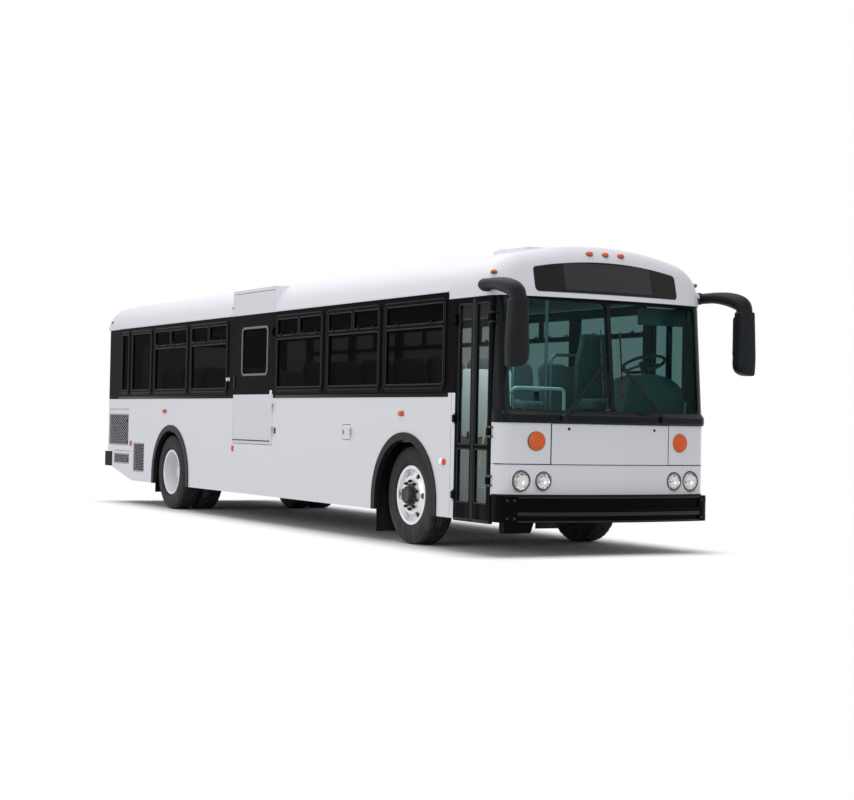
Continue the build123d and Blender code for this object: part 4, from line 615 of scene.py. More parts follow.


# Side windows: a dark bead round each sash, a rubber round each pane, latches on the transoms and a sill strip
windowTrim = {
    "pitch": 1.4, "post": 0.09, "first": 0.9, "bays": 6, "liftBay": 3, "rear": ((9.3, 0.945), (10.245, 0.445)),
    "driver": (0.22, 0.68), "sill": 1.595, "head": 2.49, "driverHead": 2.43, "transom": 2.23, "sash": 0.045,
    "corner": 0.07, "paneCorner": 0.025, "sillLines": (1.566, 1.582), "latchAt": (0.2, 0.8),
    "latch": ((0.035, 2.243, 2.262, 0.008, 0.018), (0.012, 2.236, 2.282, 0.006, 0.024)),
    "bead": ((-0.012, 0.0095), (-0.010, 0.0128), (-0.003, 0.0135), (0.0035, 0.011), (0.0035, 0.001)),
    "rubber": ((-0.006, 0.004), (-0.004, 0.0125), (0.006, 0.0125), (0.009, 0.0095), (0.009, 0.004)),
}


def windowRows(hand):
    spec, rows = windowTrim, []
    for bay in range(spec["bays"]):
        if hand > 0 or bay != spec["liftBay"]:
            front = spec["first"] + spec["pitch"] * bay
            rows.append((front, front + spec["pitch"], spec["head"], True, 1 if bay == 0 else 2))
    rows += [(front, front + width, spec["head"], False, 1) for front, width in spec["rear"]]
    if hand > 0:
        rows.append((spec["driver"][0], sum(spec["driver"]), spec["driverHead"], False, 2))
    gap = spec["post"] / 2
    return [(at(rear - gap), at(front + gap), head, transom, panes) for front, rear, head, transom, panes in rows]


def windowPanes(x0, x1, head, transom, panes):
    sash, sill, split = windowTrim["sash"], windowTrim["sill"], windowTrim["transom"]
    rows, upper = [], sill + sash
    if transom:
        rows.append((x0 + sash, x1 - sash, sill + sash, split - sash / 2))
        upper = split + sash / 2
    width = (x1 - x0 - 2 * sash - (panes - 1) * sash) / panes
    for pane in range(panes):
        start = x0 + sash + pane * (width + sash)
        rows.append((start, start + width, upper, head - sash))
    return rows


def makeWindowTrim():
    spec = windowTrim
    beads, rubbers, latches = newShapes(3)
    for hand in (-1, 1):
        wall = onWall(hand)
        for x0, x1, head, transom, panes in windowRows(hand):
            sweepLoop(beads, roundLoop(x0, x1, spec["sill"], head, spec["corner"]), spec["bead"], wall)
            for u0, u1, v0, v1 in windowPanes(x0, x1, head, transom, panes):
                sweepLoop(rubbers, roundLoop(u0, u1, v0, v1, spec["paneCorner"], 4), spec["rubber"], wall)
                for share in spec["latchAt"] if transom and v0 > spec["transom"] else ():
                    u = u0 + (u1 - u0) * share
                    for wide, low, high, radius, thick in spec["latch"]:
                        plate(latches, roundLoop(u - wide, u + wide, low, high, radius, 3), thick, wall, 0.004)
            for v in spec["sillLines"]:
                plate(beads, roundLoop(x0 + 0.03, x1 - 0.03, v, v + 0.007, 0.003, 2), 0.008, wall, 0.002)
    makePiece("sashBeads", beads, "sash", "body")
    makePiece("paneRubbers", rubbers, "seal", "body")
    makePiece("transomLatches", latches, "sash", "body")


makeWindowTrim()
print("window trim made")

# Belt strip along the foot of the window band, broken at the lift door, and the seam in the white post
beltTrim = {"low": 1.511, "high": 1.545, "out": 0.007, "right": ((0.892, 5.05), (6.364, 10.74)),
            "left": ((0.205, 10.74),), "seam": (0.822, 0.819, 0.345, 1.545)}


def makeBelt():
    strip = bmesh.new()
    for hand, runs in ((-1, beltTrim["right"]), (1, beltTrim["left"])):
        for front, rear in runs:
            low = (at(rear), hand * (half - 0.001), beltTrim["low"])
            slab(strip, low, (at(front), hand * (half + beltTrim["out"]), beltTrim["high"]), 0.003)
    makePiece("beltStrip", strip, "sash", "body")
    seam = bmesh.new()
    rear, front, low, high = beltTrim["seam"]
    slab(seam, (at(rear), -half - 0.001, low), (at(front), -half + 0.002, high), 0.0008, 1)
    makePiece("postSeam", seam, "seal", "body")


makeBelt()

# Rivet columns down the side panels under the window posts, and along the skirt
rivetRows = {"columns": (2.3, 2.36, 3.7, 3.76, 6.45, 6.51, 7.9, 9.36), "low": 0.42, "high": 1.47, "pitch": 0.075,
             "skirt": (2.56, 7.76), "skirtZ": 0.36, "skirtPitch": 0.15, "arch": 0.72,
             "head": (0.0055, 0.0012, 8, 0.0036, 0.0008)}


def makeRivets():
    spec, spots = rivetRows, []
    front, rear = spec["skirt"]
    for hand in (-1, 1):
        aim = (0, hand, 0)
        for station in spec["columns"]:
            for step in range(int((spec["high"] - spec["low"]) / spec["pitch"])):
                x, z = at(station), spec["low"] + step * spec["pitch"]
                if min(math.hypot(x - axle, z - axleZ) for axle in (frontX, rearX)) > spec["arch"]:
                    spots.append(((x, hand * half, z), aim))
        for step in range(int((rear - front) / spec["skirtPitch"])):
            spots.append(((at(front + spec["skirtPitch"] * step), hand * half, spec["skirtZ"]), aim))
    fasten("panelRivets", spots, rivetRows["head"], "white", "body")


makeRivets()
print("belt and rivets made")


# Engine-bay grilles: pale expanded mesh in a frame, over a dark sheet that is painted shade of the bay behind
grilles = {"places": ((10.284, 11.15, 0.83, 1.294), (10.239, 10.909, 0.56, 0.716), (9.599, 10.057, 0.463, 0.882)),
           "cell": (0.095, 0.042), "strand": 0.0056, "border": 0.032, "meshIn": 0.009, "backIn": 0.044, "gap": 0.006,
           "frame": ((-0.020, -0.016), (-0.020, -0.003), (-0.016, -0.001), (-0.0008, -0.001), (-0.0008, -0.016))}


def meshTree():
    tree, keys, start, end = pieceTree("expandedMesh", [
        ("Length", "NodeSocketFloat", 0.8), ("Height", "NodeSocketFloat", 0.4), ("Across", "NodeSocketInt", 18),
        ("Up", "NodeSocketInt", 18), ("Strand", "NodeSocketFloat", 0.003), ("Middle", "NodeSocketVector", (0, 0, 0))])
    wide = mathNode(tree, "DIVIDE", start["Length"], start["Across"])
    tall = mathNode(tree, "DIVIDE", start["Height"], start["Up"])
    lengthIn = mathNode(tree, "SUBTRACT", start["Length"], wide)
    heightIn = mathNode(tree, "SUBTRACT", start["Height"], tall)
    grid = addNode(tree, "GeometryNodeMeshGrid", {"Size X": lengthIn, "Size Y": heightIn,
                                                  "Vertices X": start["Across"], "Vertices Y": start["Up"]})
    cell = addNode(tree, "GeometryNodeCurvePrimitiveCircle", {"Resolution": 4, "Radius": 0.5}).outputs["Curve"]
    stretch = addNode(tree, "ShaderNodeCombineXYZ", {"X": wide, "Y": tall, "Z": 1.0}).outputs[0]
    diamond = addNode(tree, "GeometryNodeTransform", {"Geometry": cell, "Scale": stretch}).outputs[0]
    section = addNode(tree, "GeometryNodeCurvePrimitiveCircle", {"Resolution": 4, "Radius": start["Strand"]})
    strands = addNode(tree, "GeometryNodeCurveToMesh", {"Curve": diamond, "Profile Curve": section.outputs["Curve"]})
    spread = addNode(tree, "GeometryNodeInstanceOnPoints", {"Points": grid.outputs["Mesh"],
                                                            "Instance": strands.outputs[0]})
    upright = addNode(tree, "GeometryNodeTransform", {"Geometry": spread.outputs[0], "Rotation": (math.pi / 2, 0, 0),
                                                      "Translation": start["Middle"]})
    closeTree(tree, upright.outputs[0], start, end)
    return tree, keys


def makeGrilles():
    spec, (tree, keys) = grilles, meshTree()
    whole, shadeBacks = newShapes(2)
    for hand in (-1, 1):
        for near, far, low, high in spec["places"]:
            length, height = far - near - spec["border"], high - low - spec["border"]
            values = {"Length": length, "Height": height, "Strand": spec["strand"],
                      "Across": round(length / spec["cell"][0]), "Up": round(height / spec["cell"][1]),
                      "Middle": (at((near + far) / 2), hand * (half - spec["meshIn"]), (low + high) / 2)}
            whole.from_mesh(runTree(tree, keys, bpy.data.meshes.new("mesh"), values, "mesh"))
            sweepLoop(whole, roundLoop(at(far), at(near), low, high, 0.012, 3), spec["frame"], onWall(hand))
            gap = spec["gap"]
            # a dark sheet behind each mesh: painted shade of the bay
            plate(shadeBacks, roundLoop(at(far) + gap, at(near) - gap, low + gap, high - gap, 0.01, 3), 0.004,
                  lambda u, v, out, hand=hand: (u, hand * (half - spec["backIn"] + out), v), 0.001)
    screen = makePiece("grilleMesh", whole, "mesh", "body", 50)
    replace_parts(screen, "grilles")
    makePiece("grilleBacks", shadeBacks, "dark", "body")


makeGrilles()
print("grilles made")

# Tyres: moulded sidewall rings, zigzag tread grooves and notched shoulders
tyreSpec = {
    "side": ((0.2885, 0.105), (0.306, 0.105), (0.315, 0.116), (0.334, 0.1275), (0.336, 0.1305), (0.343, 0.1318),
             (0.346, 0.1306), (0.372, 0.1375), (0.396, 0.1392), (0.3975, 0.1372), (0.403, 0.1372), (0.4045, 0.139),
             (0.438, 0.1362), (0.466, 0.1292), (0.474, 0.1264)),
    "shoulder": ((0.488, 0.1212), (0.4975, 0.1155), (0.5035, 0.1005), (0.505, 0.0965)),
    "tread": ((0.505, 0.0715), (0.492, 0.0695), (0.492, 0.0625), (0.505, 0.0605),
              (0.505, 0.0275), (0.492, 0.0255), (0.492, 0.0185), (0.505, 0.0165)),
    "steps": 160, "zig": 0.0045, "notch": 0.006,
}


def tyreMesh(shape, place):
    spec = tyreSpec
    rows = [(r, w, "side") for r, w in spec["side"]] + [(r, w, "shoulder") for r, w in spec["shoulder"]]
    rows += [(r, w, "tread") for r, w in spec["tread"]]
    rows += [(r, -w, kind) for r, w, kind in reversed(rows)]
    rings = []
    for k in range(spec["steps"]):
        angle = 2 * math.pi * k / spec["steps"]
        ring = []
        for radius, out, kind in rows:
            if kind == "shoulder" and k % 4 == 0:
                radius -= spec["notch"]
            if kind == "tread":
                out += spec["zig"] * (1 if k % 4 < 2 else -1)
            ring.append(shape.verts.new(place(radius * math.cos(angle), radius * math.sin(angle), out)))
        rings.append(ring)
    for a, b in zip(rings, rings[1:] + rings[:1]):
        for i in range(len(rows)):
            j = (i + 1) % len(rows)
            shape.faces.new((a[i], a[j], b[j], b[i]))


# Wheel fittings: ten nuts, a dark bolted hub on the front wheels and a plain one at the rear
wheelFit = {"frontY": half - 0.072 - 0.14, "rearY": half - 0.028 - 0.14, "dual": 0.33,
            "nuts": 10, "circle": 0.143, "nut": (0.0195, 0.026, 6, 0.011, 0.012), "nutOut": (0.1188, -0.1502),
            "bolts": 8, "boltCircle": 0.066, "bolt": (0.008, 0.006, 6, 0.004, 0.002), "boltOut": 0.1878,
            "frontHub": ((0.118, 0.1195), (0.118, 0.124), (0.108, 0.128), (0.098, 0.130), (0.093, 0.150),
                         (0.089, 0.172), (0.080, 0.186), (0.052, 0.190), (0.046, 0.187), (0.030, 0.187), (0.0, 0.187)),
            "rearHub": ((0.112, -0.060), (0.112, -0.018), (0.104, 0.002), (0.090, 0.013), (0.060, 0.016),
                        (0.056, 0.013), (0.0, 0.013)),
            "lip": ((0.296, 0.1175), (0.2985, 0.1205), (0.3035, 0.1215), (0.3065, 0.1195), (0.3065, 0.1175))}


def makeWheels():
    spec = wheelFit
    for hand, name in ((-1, "right"), (1, "left")):
        front, rear = onWheel(frontX, spec["frontY"], hand), onWheel(rearX, spec["rearY"], hand)
        inner = onWheel(rearX, spec["rearY"] - spec["dual"], hand)
        frontBody, rearBody, title, aim = "front_wheel_" + name, "rear_wheels_" + name, name.title(), (0, hand, 0)
        shape = bmesh.new()
        tyreMesh(shape, front)
        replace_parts(makePiece("treadFront" + title, shape, "tyre", frontBody, 28), "tyre_front_" + name)
        shape = bmesh.new()
        tyreMesh(shape, rear)
        tyreMesh(shape, inner)
        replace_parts(makePiece("treadRear" + title, shape, "tyre", rearBody, 28), "tyres_rear_" + name)
        axles = (("Front", frontBody, front), ("Rear", rearBody, rear))
        for (label, body, place), out in zip(axles, spec["nutOut"]):
            turns = [2 * math.pi * (k + 0.5) / spec["nuts"] for k in range(spec["nuts"])]
            spots = [(place(*polar(spec["circle"], angle), out), aim) for angle in turns]
            fasten("wheelNuts" + label + title, spots, spec["nut"], "nut", body)
        hub = bmesh.new()
        turned(hub, spec["frontHub"], front, 40)
        makePiece("hubFront" + title, hub, "nut", frontBody)
        turns = [2 * math.pi * k / spec["bolts"] for k in range(spec["bolts"])]
        spots = [(front(*polar(spec["boltCircle"], angle), spec["boltOut"]), aim) for angle in turns]
        fasten("hubBolts" + title, spots, spec["bolt"], "rail", frontBody)
        hub = bmesh.new()
        turned(hub, spec["rearHub"], rear, 40)
        makePiece("hubRear" + title, hub, "wheelWhite", rearBody)
        for label, body, place in axles:
            lip = bmesh.new()
            turned(lip, spec["lip"], place, 64, True)
            makePiece("rimLip" + label + title, lip, "alloy", body)


makeWheels()
print("wheels made")


# How far forward the fascia or windshield stands: it leans back and flattens towards the top
nose = {"low": 1.271, "high": 2.47, "out": 0.064, "lean": 0.1, "bow": 0.136, "flatten": 0.04, "bumper": 0.085,
        "edge": 1.09, "corner": (5.3025, 1.069, 0.15)}


def noseSkin(y, z):
    share = max(0.0, (z - nose["low"]) / (nose["high"] - nose["low"]))
    bow = nose["bow"] - nose["flatten"] * share
    return noseX + nose["out"] - nose["lean"] * share + bow * (1 - (y / half) ** 2)


# The fascia's plan from corner to corner, at one height
def nosePath(z, back=0.0, turn=72):
    x0, y0, radius = nose["corner"]
    steps = [polar(radius, math.radians(angle)) for angle in range(turn, 10, -6)]
    corner = [(x0 + dx, y0 + dy) for dx, dy in steps]
    middle = [(noseSkin(y, 0.9), y) for y in (nose["edge"] * k / 16 for k in range(-16, 17))]
    plan = [(x, -y) for x, y in corner] + middle + corner[::-1]
    return [(x - back, y, z) for x, y in plan]


def egg(shape, centre, radii, rows=8, steps=16):
    profile = [(math.sin(math.pi * k / rows), -math.cos(math.pi * k / rows)) for k in range(rows + 1)]
    turned(shape, profile, lambda u, v, w: tuple(c + r * d for c, r, d in zip(centre, radii, (u, v, w))), steps)


# Headlamps: a dark rim, a faceted bowl with its bulb and a fluted lens, each in a pale bezel
headlamps = {"lamps": ((-0.987, 0.1), (-0.762, 0.09), (0.762, 0.09), (0.987, 0.1)), "z": 0.725, "back": 0.035,
             "facets": 18, "edge": 0.0172}


def makeHeadlamps():
    rims, bowls, lenses, bezels = newShapes(4)
    for y, r in headlamps["lamps"]:
        x, z = noseSkin(y, headlamps["z"]), headlamps["z"]
        place = lambda u, v, w, x=x - headlamps["back"], y=y: (x + w, y + u, z + v)
        edge = r - headlamps["edge"]
        turned(rims, ((r - 0.0006, 0.004), (r - 0.0006, 0.046), (r - 0.005, 0.0530), (r - 0.011, 0.0545),
                      (r - 0.016, 0.050), (r - 0.0175, 0.032), (r - 0.0175, 0.004)), place, 48, True)
        turned(bowls, ((edge, 0.046), (0.72 * r, 0.034), (0.55 * r, 0.021), (0.36 * r, 0.012), (0.2 * r, 0.008),
                       (0.13 * r, 0.008), (0.13 * r, 0.030), (0.08 * r, 0.038), (0.0, 0.039)), place,
                       headlamps["facets"])
        outer = [(edge * k / 8, 0.066 - 0.021 * (k / 8) ** 2 + (0.0012 if k % 2 else 0.0)) for k in range(9)]
        turned(lenses, outer + [(radius, along - 0.003) for radius, along in reversed(outer)], place, 40)
        skin = lambda u, v, w, x=x, y=y: (x + w, y + u, z + v)
        turned(bezels, ((r + 0.0008, -0.016), (r + 0.0008, 0.004), (r + 0.005, 0.0085), (r + 0.012, 0.003),
                        (r + 0.014, -0.016)), skin, 48, True)
    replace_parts(makePiece("lampRims", rims, "trim", "body"), "headlamps")
    makePiece("lampBowls", bowls, "bowl", "body", 4)
    makePiece("lampLenses", lenses, "lens", "body")
    makePiece("lampBezels", bezels, "white", "body")


makeHeadlamps()

# Amber and red lamps: ribbed round turn lamps with paler amber rings and spokes as painted highlights, bullet markers
# on the cap, side markers and rear lamps
lampSpec = {"turn": (0.835, 1.1, 0.0925), "turnRibs": 20,
            "turnRings": ((0.022, 0.0520), (0.046, 0.0480), (0.084, 0.0365)),
            "roofY": (-0.184, 0.0, 0.184), "roof": (0.03, 2.905), "corner": (0.125, 1.185, 2.694),
            "side": ((1.847, 1.342), (8.788, 1.338)), "bullet": (0.982, 0.872), "reflector": (6.336, 0.881),
            "redReflector": (10.173, 0.867), "roofSide": (6.434, 1.2, 2.652), "roofRear": (0.10, 1.195, 2.66),
            "rearY": 1.02, "rearAmber": 1.25, "rearRed": 1.07}


def ribbed(shape, r, low, high, place, ribs=6):
    rows = []
    for k in range(2 * ribs + 1):
        share = k / (2 * ribs)
        rows.append((r * share, high - (high - low) * share ** 2 + (0.0022 if k % 2 else 0.0)))
    turned(shape, rows + [(r, low - 0.012)], place, 40)


def makeSmallLamps():
    amber, red, bases, chrome, rings = newShapes(5)
    ty, tz, tr = lampSpec["turn"]
    for hand in (-1, 1):
        x = noseSkin(ty, tz) - 0.022
        place = lambda u, v, w, x=x, hand=hand: (x + w, hand * ty + u, tz + v)
        ribbed(amber, tr - 0.0045, 0.034, 0.0535, place, 5)
        turned(bases, ((tr - 0.0006, 0.004), (tr - 0.0006, 0.026), (tr - 0.0022, 0.0285), (tr - 0.004, 0.027),
                       (tr - 0.004, 0.004)), place, 48, True)
        for k in range(lampSpec["turnRibs"]):  # radial ribs towards the lens edge, paler as painted highlights
            a = 2 * math.pi * k / lampSpec["turnRibs"]
            pipe(rings, [place(*polar(0.046, a), 0.0482), place(*polar(0.083, a), 0.0366)], 0.0022, 6)
        for radius, along in lampSpec["turnRings"]:
            turned(rings, ((radius - 0.003, along), (radius, along + 0.0032), (radius + 0.003, along),
                           (radius, along - 0.003)), place, 40, True)
        station, y, z = lampSpec["corner"]
        egg(amber, (at(station), hand * y, z), (0.036, 0.030, 0.021))
        egg(bases, (at(station) - 0.002, hand * (y - 0.004), z - 0.006), (0.040, 0.032, 0.018))
        wall = onWall(hand)
        for station, z in lampSpec["side"]:
            plate(amber, padLoop(at(station), z, 0.043, 0.024, 0.015, 4), 0.030, wall, 0.010)
            plate(bases, padLoop(at(station), z, 0.047, 0.028, 0.018, 4), 0.007, wall)
        station, z = lampSpec["bullet"]
        egg(amber, (at(station) + 0.038, hand * (half + 0.003), z), (0.035, 0.0185, 0.035))
        turned(chrome, ((0.035, 0.0), (0.035, 0.005), (0.033, 0.010), (0.028, 0.016), (0.018, 0.0200), (0.0, 0.0215)),
               lambda u, v, w, s=station, h=hand, z=z: (at(s) - 0.028 + u, h * (half + w), z + v), 28)
        station, z = lampSpec["reflector"]
        plate(amber, padLoop(at(station), z, 0.025, 0.035, 0.008, 4), 0.014, wall, 0.004)
        station, z = lampSpec["redReflector"]
        plate(red, padLoop(at(station), z, 0.03, 0.0375, 0.012, 4), 0.014, wall, 0.004)
        station, y, z = lampSpec["roofSide"]
        egg(amber, (at(station), hand * y, z), (0.034, 0.020, 0.021))
        ahead, y, z = lampSpec["roofRear"]
        egg(red, (tailX + ahead, hand * y, z), (0.034, 0.022, 0.022))
        for shape, z in ((amber, lampSpec["rearAmber"]), (red, lampSpec["rearRed"])):
            tail = lambda u, v, w, z=z, hand=hand: (tailX - w, hand * lampSpec["rearY"] + u, z + v)
            ribbed(shape, 0.060, 0.008, 0.0195, tail, 5)
            turned(bases, ((0.070, 0.0), (0.070, 0.009), (0.066, 0.013), (0.061, 0.012), (0.061, 0.0)), tail, 40, True)
    for y in lampSpec["roofY"]:
        station, z = lampSpec["roof"]
        egg(amber, (at(station) + 0.020, y, z + 0.010), (0.046, 0.040, 0.027))
        egg(bases, (at(station) + 0.014, y, z + 0.005), (0.048, 0.044, 0.025))
    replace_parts(makePiece("amberLenses", amber, "amber", "body", 50), "amber_lamps")
    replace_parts(makePiece("redLenses", red, "red", "body", 50), "red_lamps")
    makePiece("amberRings", rings, "amberRingHighlight", "body", 50)
    makePiece("lampBases", bases, "trim", "body")
    makePiece("bulletBases", chrome, "chrome", "body")


makeSmallLamps()
print("lamps made")

# Mirrors: a ribbed collar, a smooth bent arm and a tall rounded head with flat and round glasses
mirrorSpec = {"x": 5.881, "y": half + 0.091, "base": (5.21, 2.565), "steps": 32,
              "rows": ((2.398, -0.080, 0.082, 0.073), (2.392, -0.0845, 0.0865, 0.076), (2.375, -0.0862, 0.0885, 0.0775),
                       (2.20, -0.092, 0.098, 0.078), (1.96, -0.103, 0.1095, 0.078), (1.89, -0.105, 0.108, 0.078),
                       (1.845, -0.097, 0.106, 0.077), (1.812, -0.074, 0.104, 0.075), (1.790, -0.040, 0.101, 0.070),
                       (1.779, -0.006, 0.096, 0.062), (1.775, 0.020, 0.086, 0.050)),
              "collar": ((0.056, 1.2312), (0.0615, 1.2335), (0.0615, 1.244), (0.057, 1.246), (0.057, 1.250),
                         (0.0615, 1.252), (0.0615, 1.263), (0.057, 1.265), (0.057, 1.269), (0.0605, 1.271),
                         (0.0605, 1.282), (0.054, 1.286)),
              "arm": (0.0535, 0.0255), "armLow": 2.36, "flat": (-0.076, 0.082, 1.955, 2.355),
              "round": (-0.062, 0.080, 1.822, 1.938), "rim": ((-0.003, 0.0), (-0.003, 0.0045), (0.003, 0.0045),
                                                              (0.005, 0.0))}


def makeMirrors():
    shells, glasses, rims = newShapes(3)
    spec = mirrorSpec
    x, y, (bx, bz), steps = spec["x"], spec["y"], spec["base"], spec["steps"]
    for hand in (-1, 1):
        rings = []
        for z, inner, outer, deep in spec["rows"]:
            ring, middle = [], y + (inner + outer) / 2
            for k in range(steps):
                c, s = polar(1.0, 2 * math.pi * k / steps)
                du = math.copysign(abs(c) ** 0.5, c)
                dv = math.copysign(abs(s) ** 0.5, s)
                ring.append(shells.verts.new((x + deep * du, hand * (middle + (outer - inner) / 2 * dv), z)))
            rings.append(ring)
        for a, b in zip(rings, rings[1:]):
            for i in range(steps):
                j = (i + 1) % steps
                shells.faces.new((a[i], a[j], b[j], b[i]))
        shells.faces.new(rings[0][::-1])
        shells.faces.new(rings[-1])
        route = curvePoints([(bx, hand * 1.236, bz), (bx, hand * 1.287, bz), (bx + 0.04, hand * 1.294, bz),
                             (bx + 0.24, hand * 1.298, bz), (bx + 0.46, hand * y, bz - 0.030),
                             (x - 0.03, hand * y, bz - 0.085), (x, hand * y, bz - 0.150),
                             (x, hand * y, spec["armLow"])], 8)
        grow = [max(0.0, min(1.0, (p.x - bx - 0.12) / 0.52)) for p in route]
        pipe(shells, route, [spec["arm"][0] + spec["arm"][1] * g * g * (3 - 2 * g) for g in grow], 28)
        turned(shells, spec["collar"], lambda u, v, w: (bx + u, hand * w, bz + v), 32)
        back = lambda u, v, w: (x - 0.0765 - w, hand * (y + u), v)
        for (u0, u1, v0, v1), corner in ((spec["flat"], 0.03), (spec["round"], 0.035)):
            plate(glasses, roundLoop(u0, u1, v0, v1, corner, 5), 0.003, back, 0.001)
            sweepLoop(rims, roundLoop(u0, u1, v0, v1, corner, 5), spec["rim"], back)
    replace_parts(makePiece("mirrorShells", shells, "mirror", "body", 48), "mirrors")
    makePiece("mirrorGlasses", glasses, "mirrorGlass", "body")
    makePiece("mirrorRims", rims, "plastic", "body")


makeMirrors()
print("mirrors made")

# Wipers: two-rod arms from a round foot to the elbow with a paler rod between them as a painted highlight, and a thin
# clawed blade beside the middle post
wiperSpec = {"foot": (0.58, 1.325, 0.066), "elbow": (0.12, 1.815, 0.034), "low": (0.112, 1.49, 0.016),
             "high": (0.112, 2.165, 0.016), "claws": (0.08, 0.34, 0.66, 0.92)}


def makeWipers():
    rods, edges, pale = newShapes(3)
    for hand in (-1, 1):
        def point(key, dy=0.0, dz=0.0, dx=0.0):
            y, z, out = wiperSpec[key]
            return (noseSkin(y, z) + out + dx, hand * (y + dy), z + dz)
        pipe(rods, [point("foot", -0.007, -0.006), point("elbow", -0.007, -0.006)], 0.0065, 10)
        pipe(rods, [point("foot", 0.011, 0.010), point("elbow", 0.011, 0.010)], 0.0050, 10)
        # a paler rod between the two: the painted highlight along the arm
        pipe(pale, [point("foot", 0.002, 0.002, 0.002), point("elbow", 0.002, 0.002, 0.002)], 0.0035, 8)
        slab(rods, point("elbow", -0.016, -0.03, -0.012), point("elbow", 0.022, 0.03, 0.008), 0.006)
        turned(rods, ((0.026, -0.085), (0.026, -0.030), (0.034, -0.022), (0.034, 0.004), (0.028, 0.013), (0.012, 0.016),
                      (0.0, 0.016)), lambda u, v, w, p=point("foot"): (p[0] + w, p[1] + u, p[2] + v), 24)
        low, high = Vector(point("low")), Vector(point("high"))
        pipe(rods, [low, high], 0.0055, 8)
        pipe(rods, [Vector(point("elbow")), (low + high) / 2], 0.008, 8)
        pipe(edges, [point("low", 0, -0.01, -0.009), point("high", 0, 0.012, -0.009)], 0.0035, 6)
        pipe(edges, [point("low", 0.004, -0.01, 0.004), point("high", 0.004, 0.012, 0.004)], 0.0030, 6)
        for share in wiperSpec["claws"]:
            c = low.lerp(high, share)
            slab(rods, (c.x - 0.010, c.y - 0.009, c.z - 0.010), (c.x + 0.009, c.y + 0.009, c.z + 0.010), 0.004)
    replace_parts(makePiece("wiperRods", rods, "wiper", "body"), "wipers")
    makePiece("wiperEdges", edges, "bladeRed", "body")
    makePiece("wiperLinks", pale, "seal", "body")


makeWipers()

# Entry leaves: rubber at the meeting edges and round the panes, a cross latch and a slanting grab rail inside
leafSpec = {"front": (4.964, 5.294, 1), "rear": (4.616, 4.946, -1), "low": 0.33, "high": 2.45,
            "panes": ((0.497, 1.0085), (1.0535, 2.404)), "frame": (0.036, 0.058), "seal": (0.007, 0.014), "foot": 0.012,
            "rubber": ((-0.007, -0.003), (-0.005, 0.0035), (0.005, 0.0035), (0.008, 0.0), (0.008, -0.003)),
            "rail": ((5.185, -1.184, 1.50), (5.185, -1.156, 1.50), (5.182, -1.156, 1.49), (4.993, -1.156, 0.86),
                     (4.990, -1.156, 0.85), (4.990, -1.184, 0.85)),
            "latch": ((-0.052, 0.012, 1.133, 1.149, 0.012), (-0.036, -0.020, 1.105, 1.177, 0.016))}


def makeLeaves():
    spec, wall = leafSpec, onWall(-1)
    low, high, foot = spec["low"], spec["high"], spec["foot"]
    for name in ("front", "rear"):
        x0, x1, hinge = spec[name]
        body = "entry_leaf_" + name
        seal, rubber, rail = newShapes(3)
        free = x0 if hinge > 0 else x1
        near, far = sorted((free - hinge * spec["seal"][0], free + hinge * spec["seal"][1]))
        slab(seal, (near, -half - 0.004, low), (far, -half + 0.030, high), 0.003)
        inner, outer = spec["frame"]
        g0, g1 = (x0 + inner, x1 - outer) if hinge > 0 else (x0 + outer, x1 - inner)
        for v0, v1 in spec["panes"]:
            sweepLoop(rubber, roundLoop(g0, g1, v0, v1, 0.02, 4), spec["rubber"], wall)
        slab(rubber, (x0 + foot, -half - 0.003, low - foot), (x1 - foot, -half + 0.02, low + foot), 0.003)
        makePiece("leafSeal" + name.title(), seal, "seal", body)
        makePiece("leafRubber" + name.title(), rubber, "seal", body)
        if hinge > 0:
            pipe(rail, curvePoints(spec["rail"], 8), 0.013, 12)
            makePiece("leafRail", rail, "tan", body)
        else:
            for u0, u1, v0, v1, thick in spec["latch"]:
                plate(rail, roundLoop(g1 + u0, g1 + u1, v0, v1, 0.006, 4), thick, wall, 0.004)
            makePiece("leafLatch", rail, "plastic", body)


makeLeaves()
print("entry leaves made")

# Lift door: pale window rubber, drip rail and handle, with the knob, bracket and latch on the posts beside it
liftSpec = {"pane": (5.309, 6.088, 1.8, 2.375), "drip": (5.2, 6.345, 0.986, 0.998),
            "handle": (6.335, 6.300, 1.62, 1.80),
            "hinge": (5.215, 5.150, 1.535, 1.605), "knob": (6.5, 1.75), "bracket": (5.045, 1.462),
            "latch": (5.044, 1.121),
            "rubber": ((-0.014, -0.004), (-0.012, 0.006), (-0.004, 0.008), (0.012, 0.007), (0.016, 0.0)),
            "knobRows": ((0.026, 0.0), (0.026, 0.004), (0.014, 0.007), (0.012, 0.018), (0.020, 0.022), (0.024, 0.030),
                         (0.018, 0.038), (0.0, 0.040))}


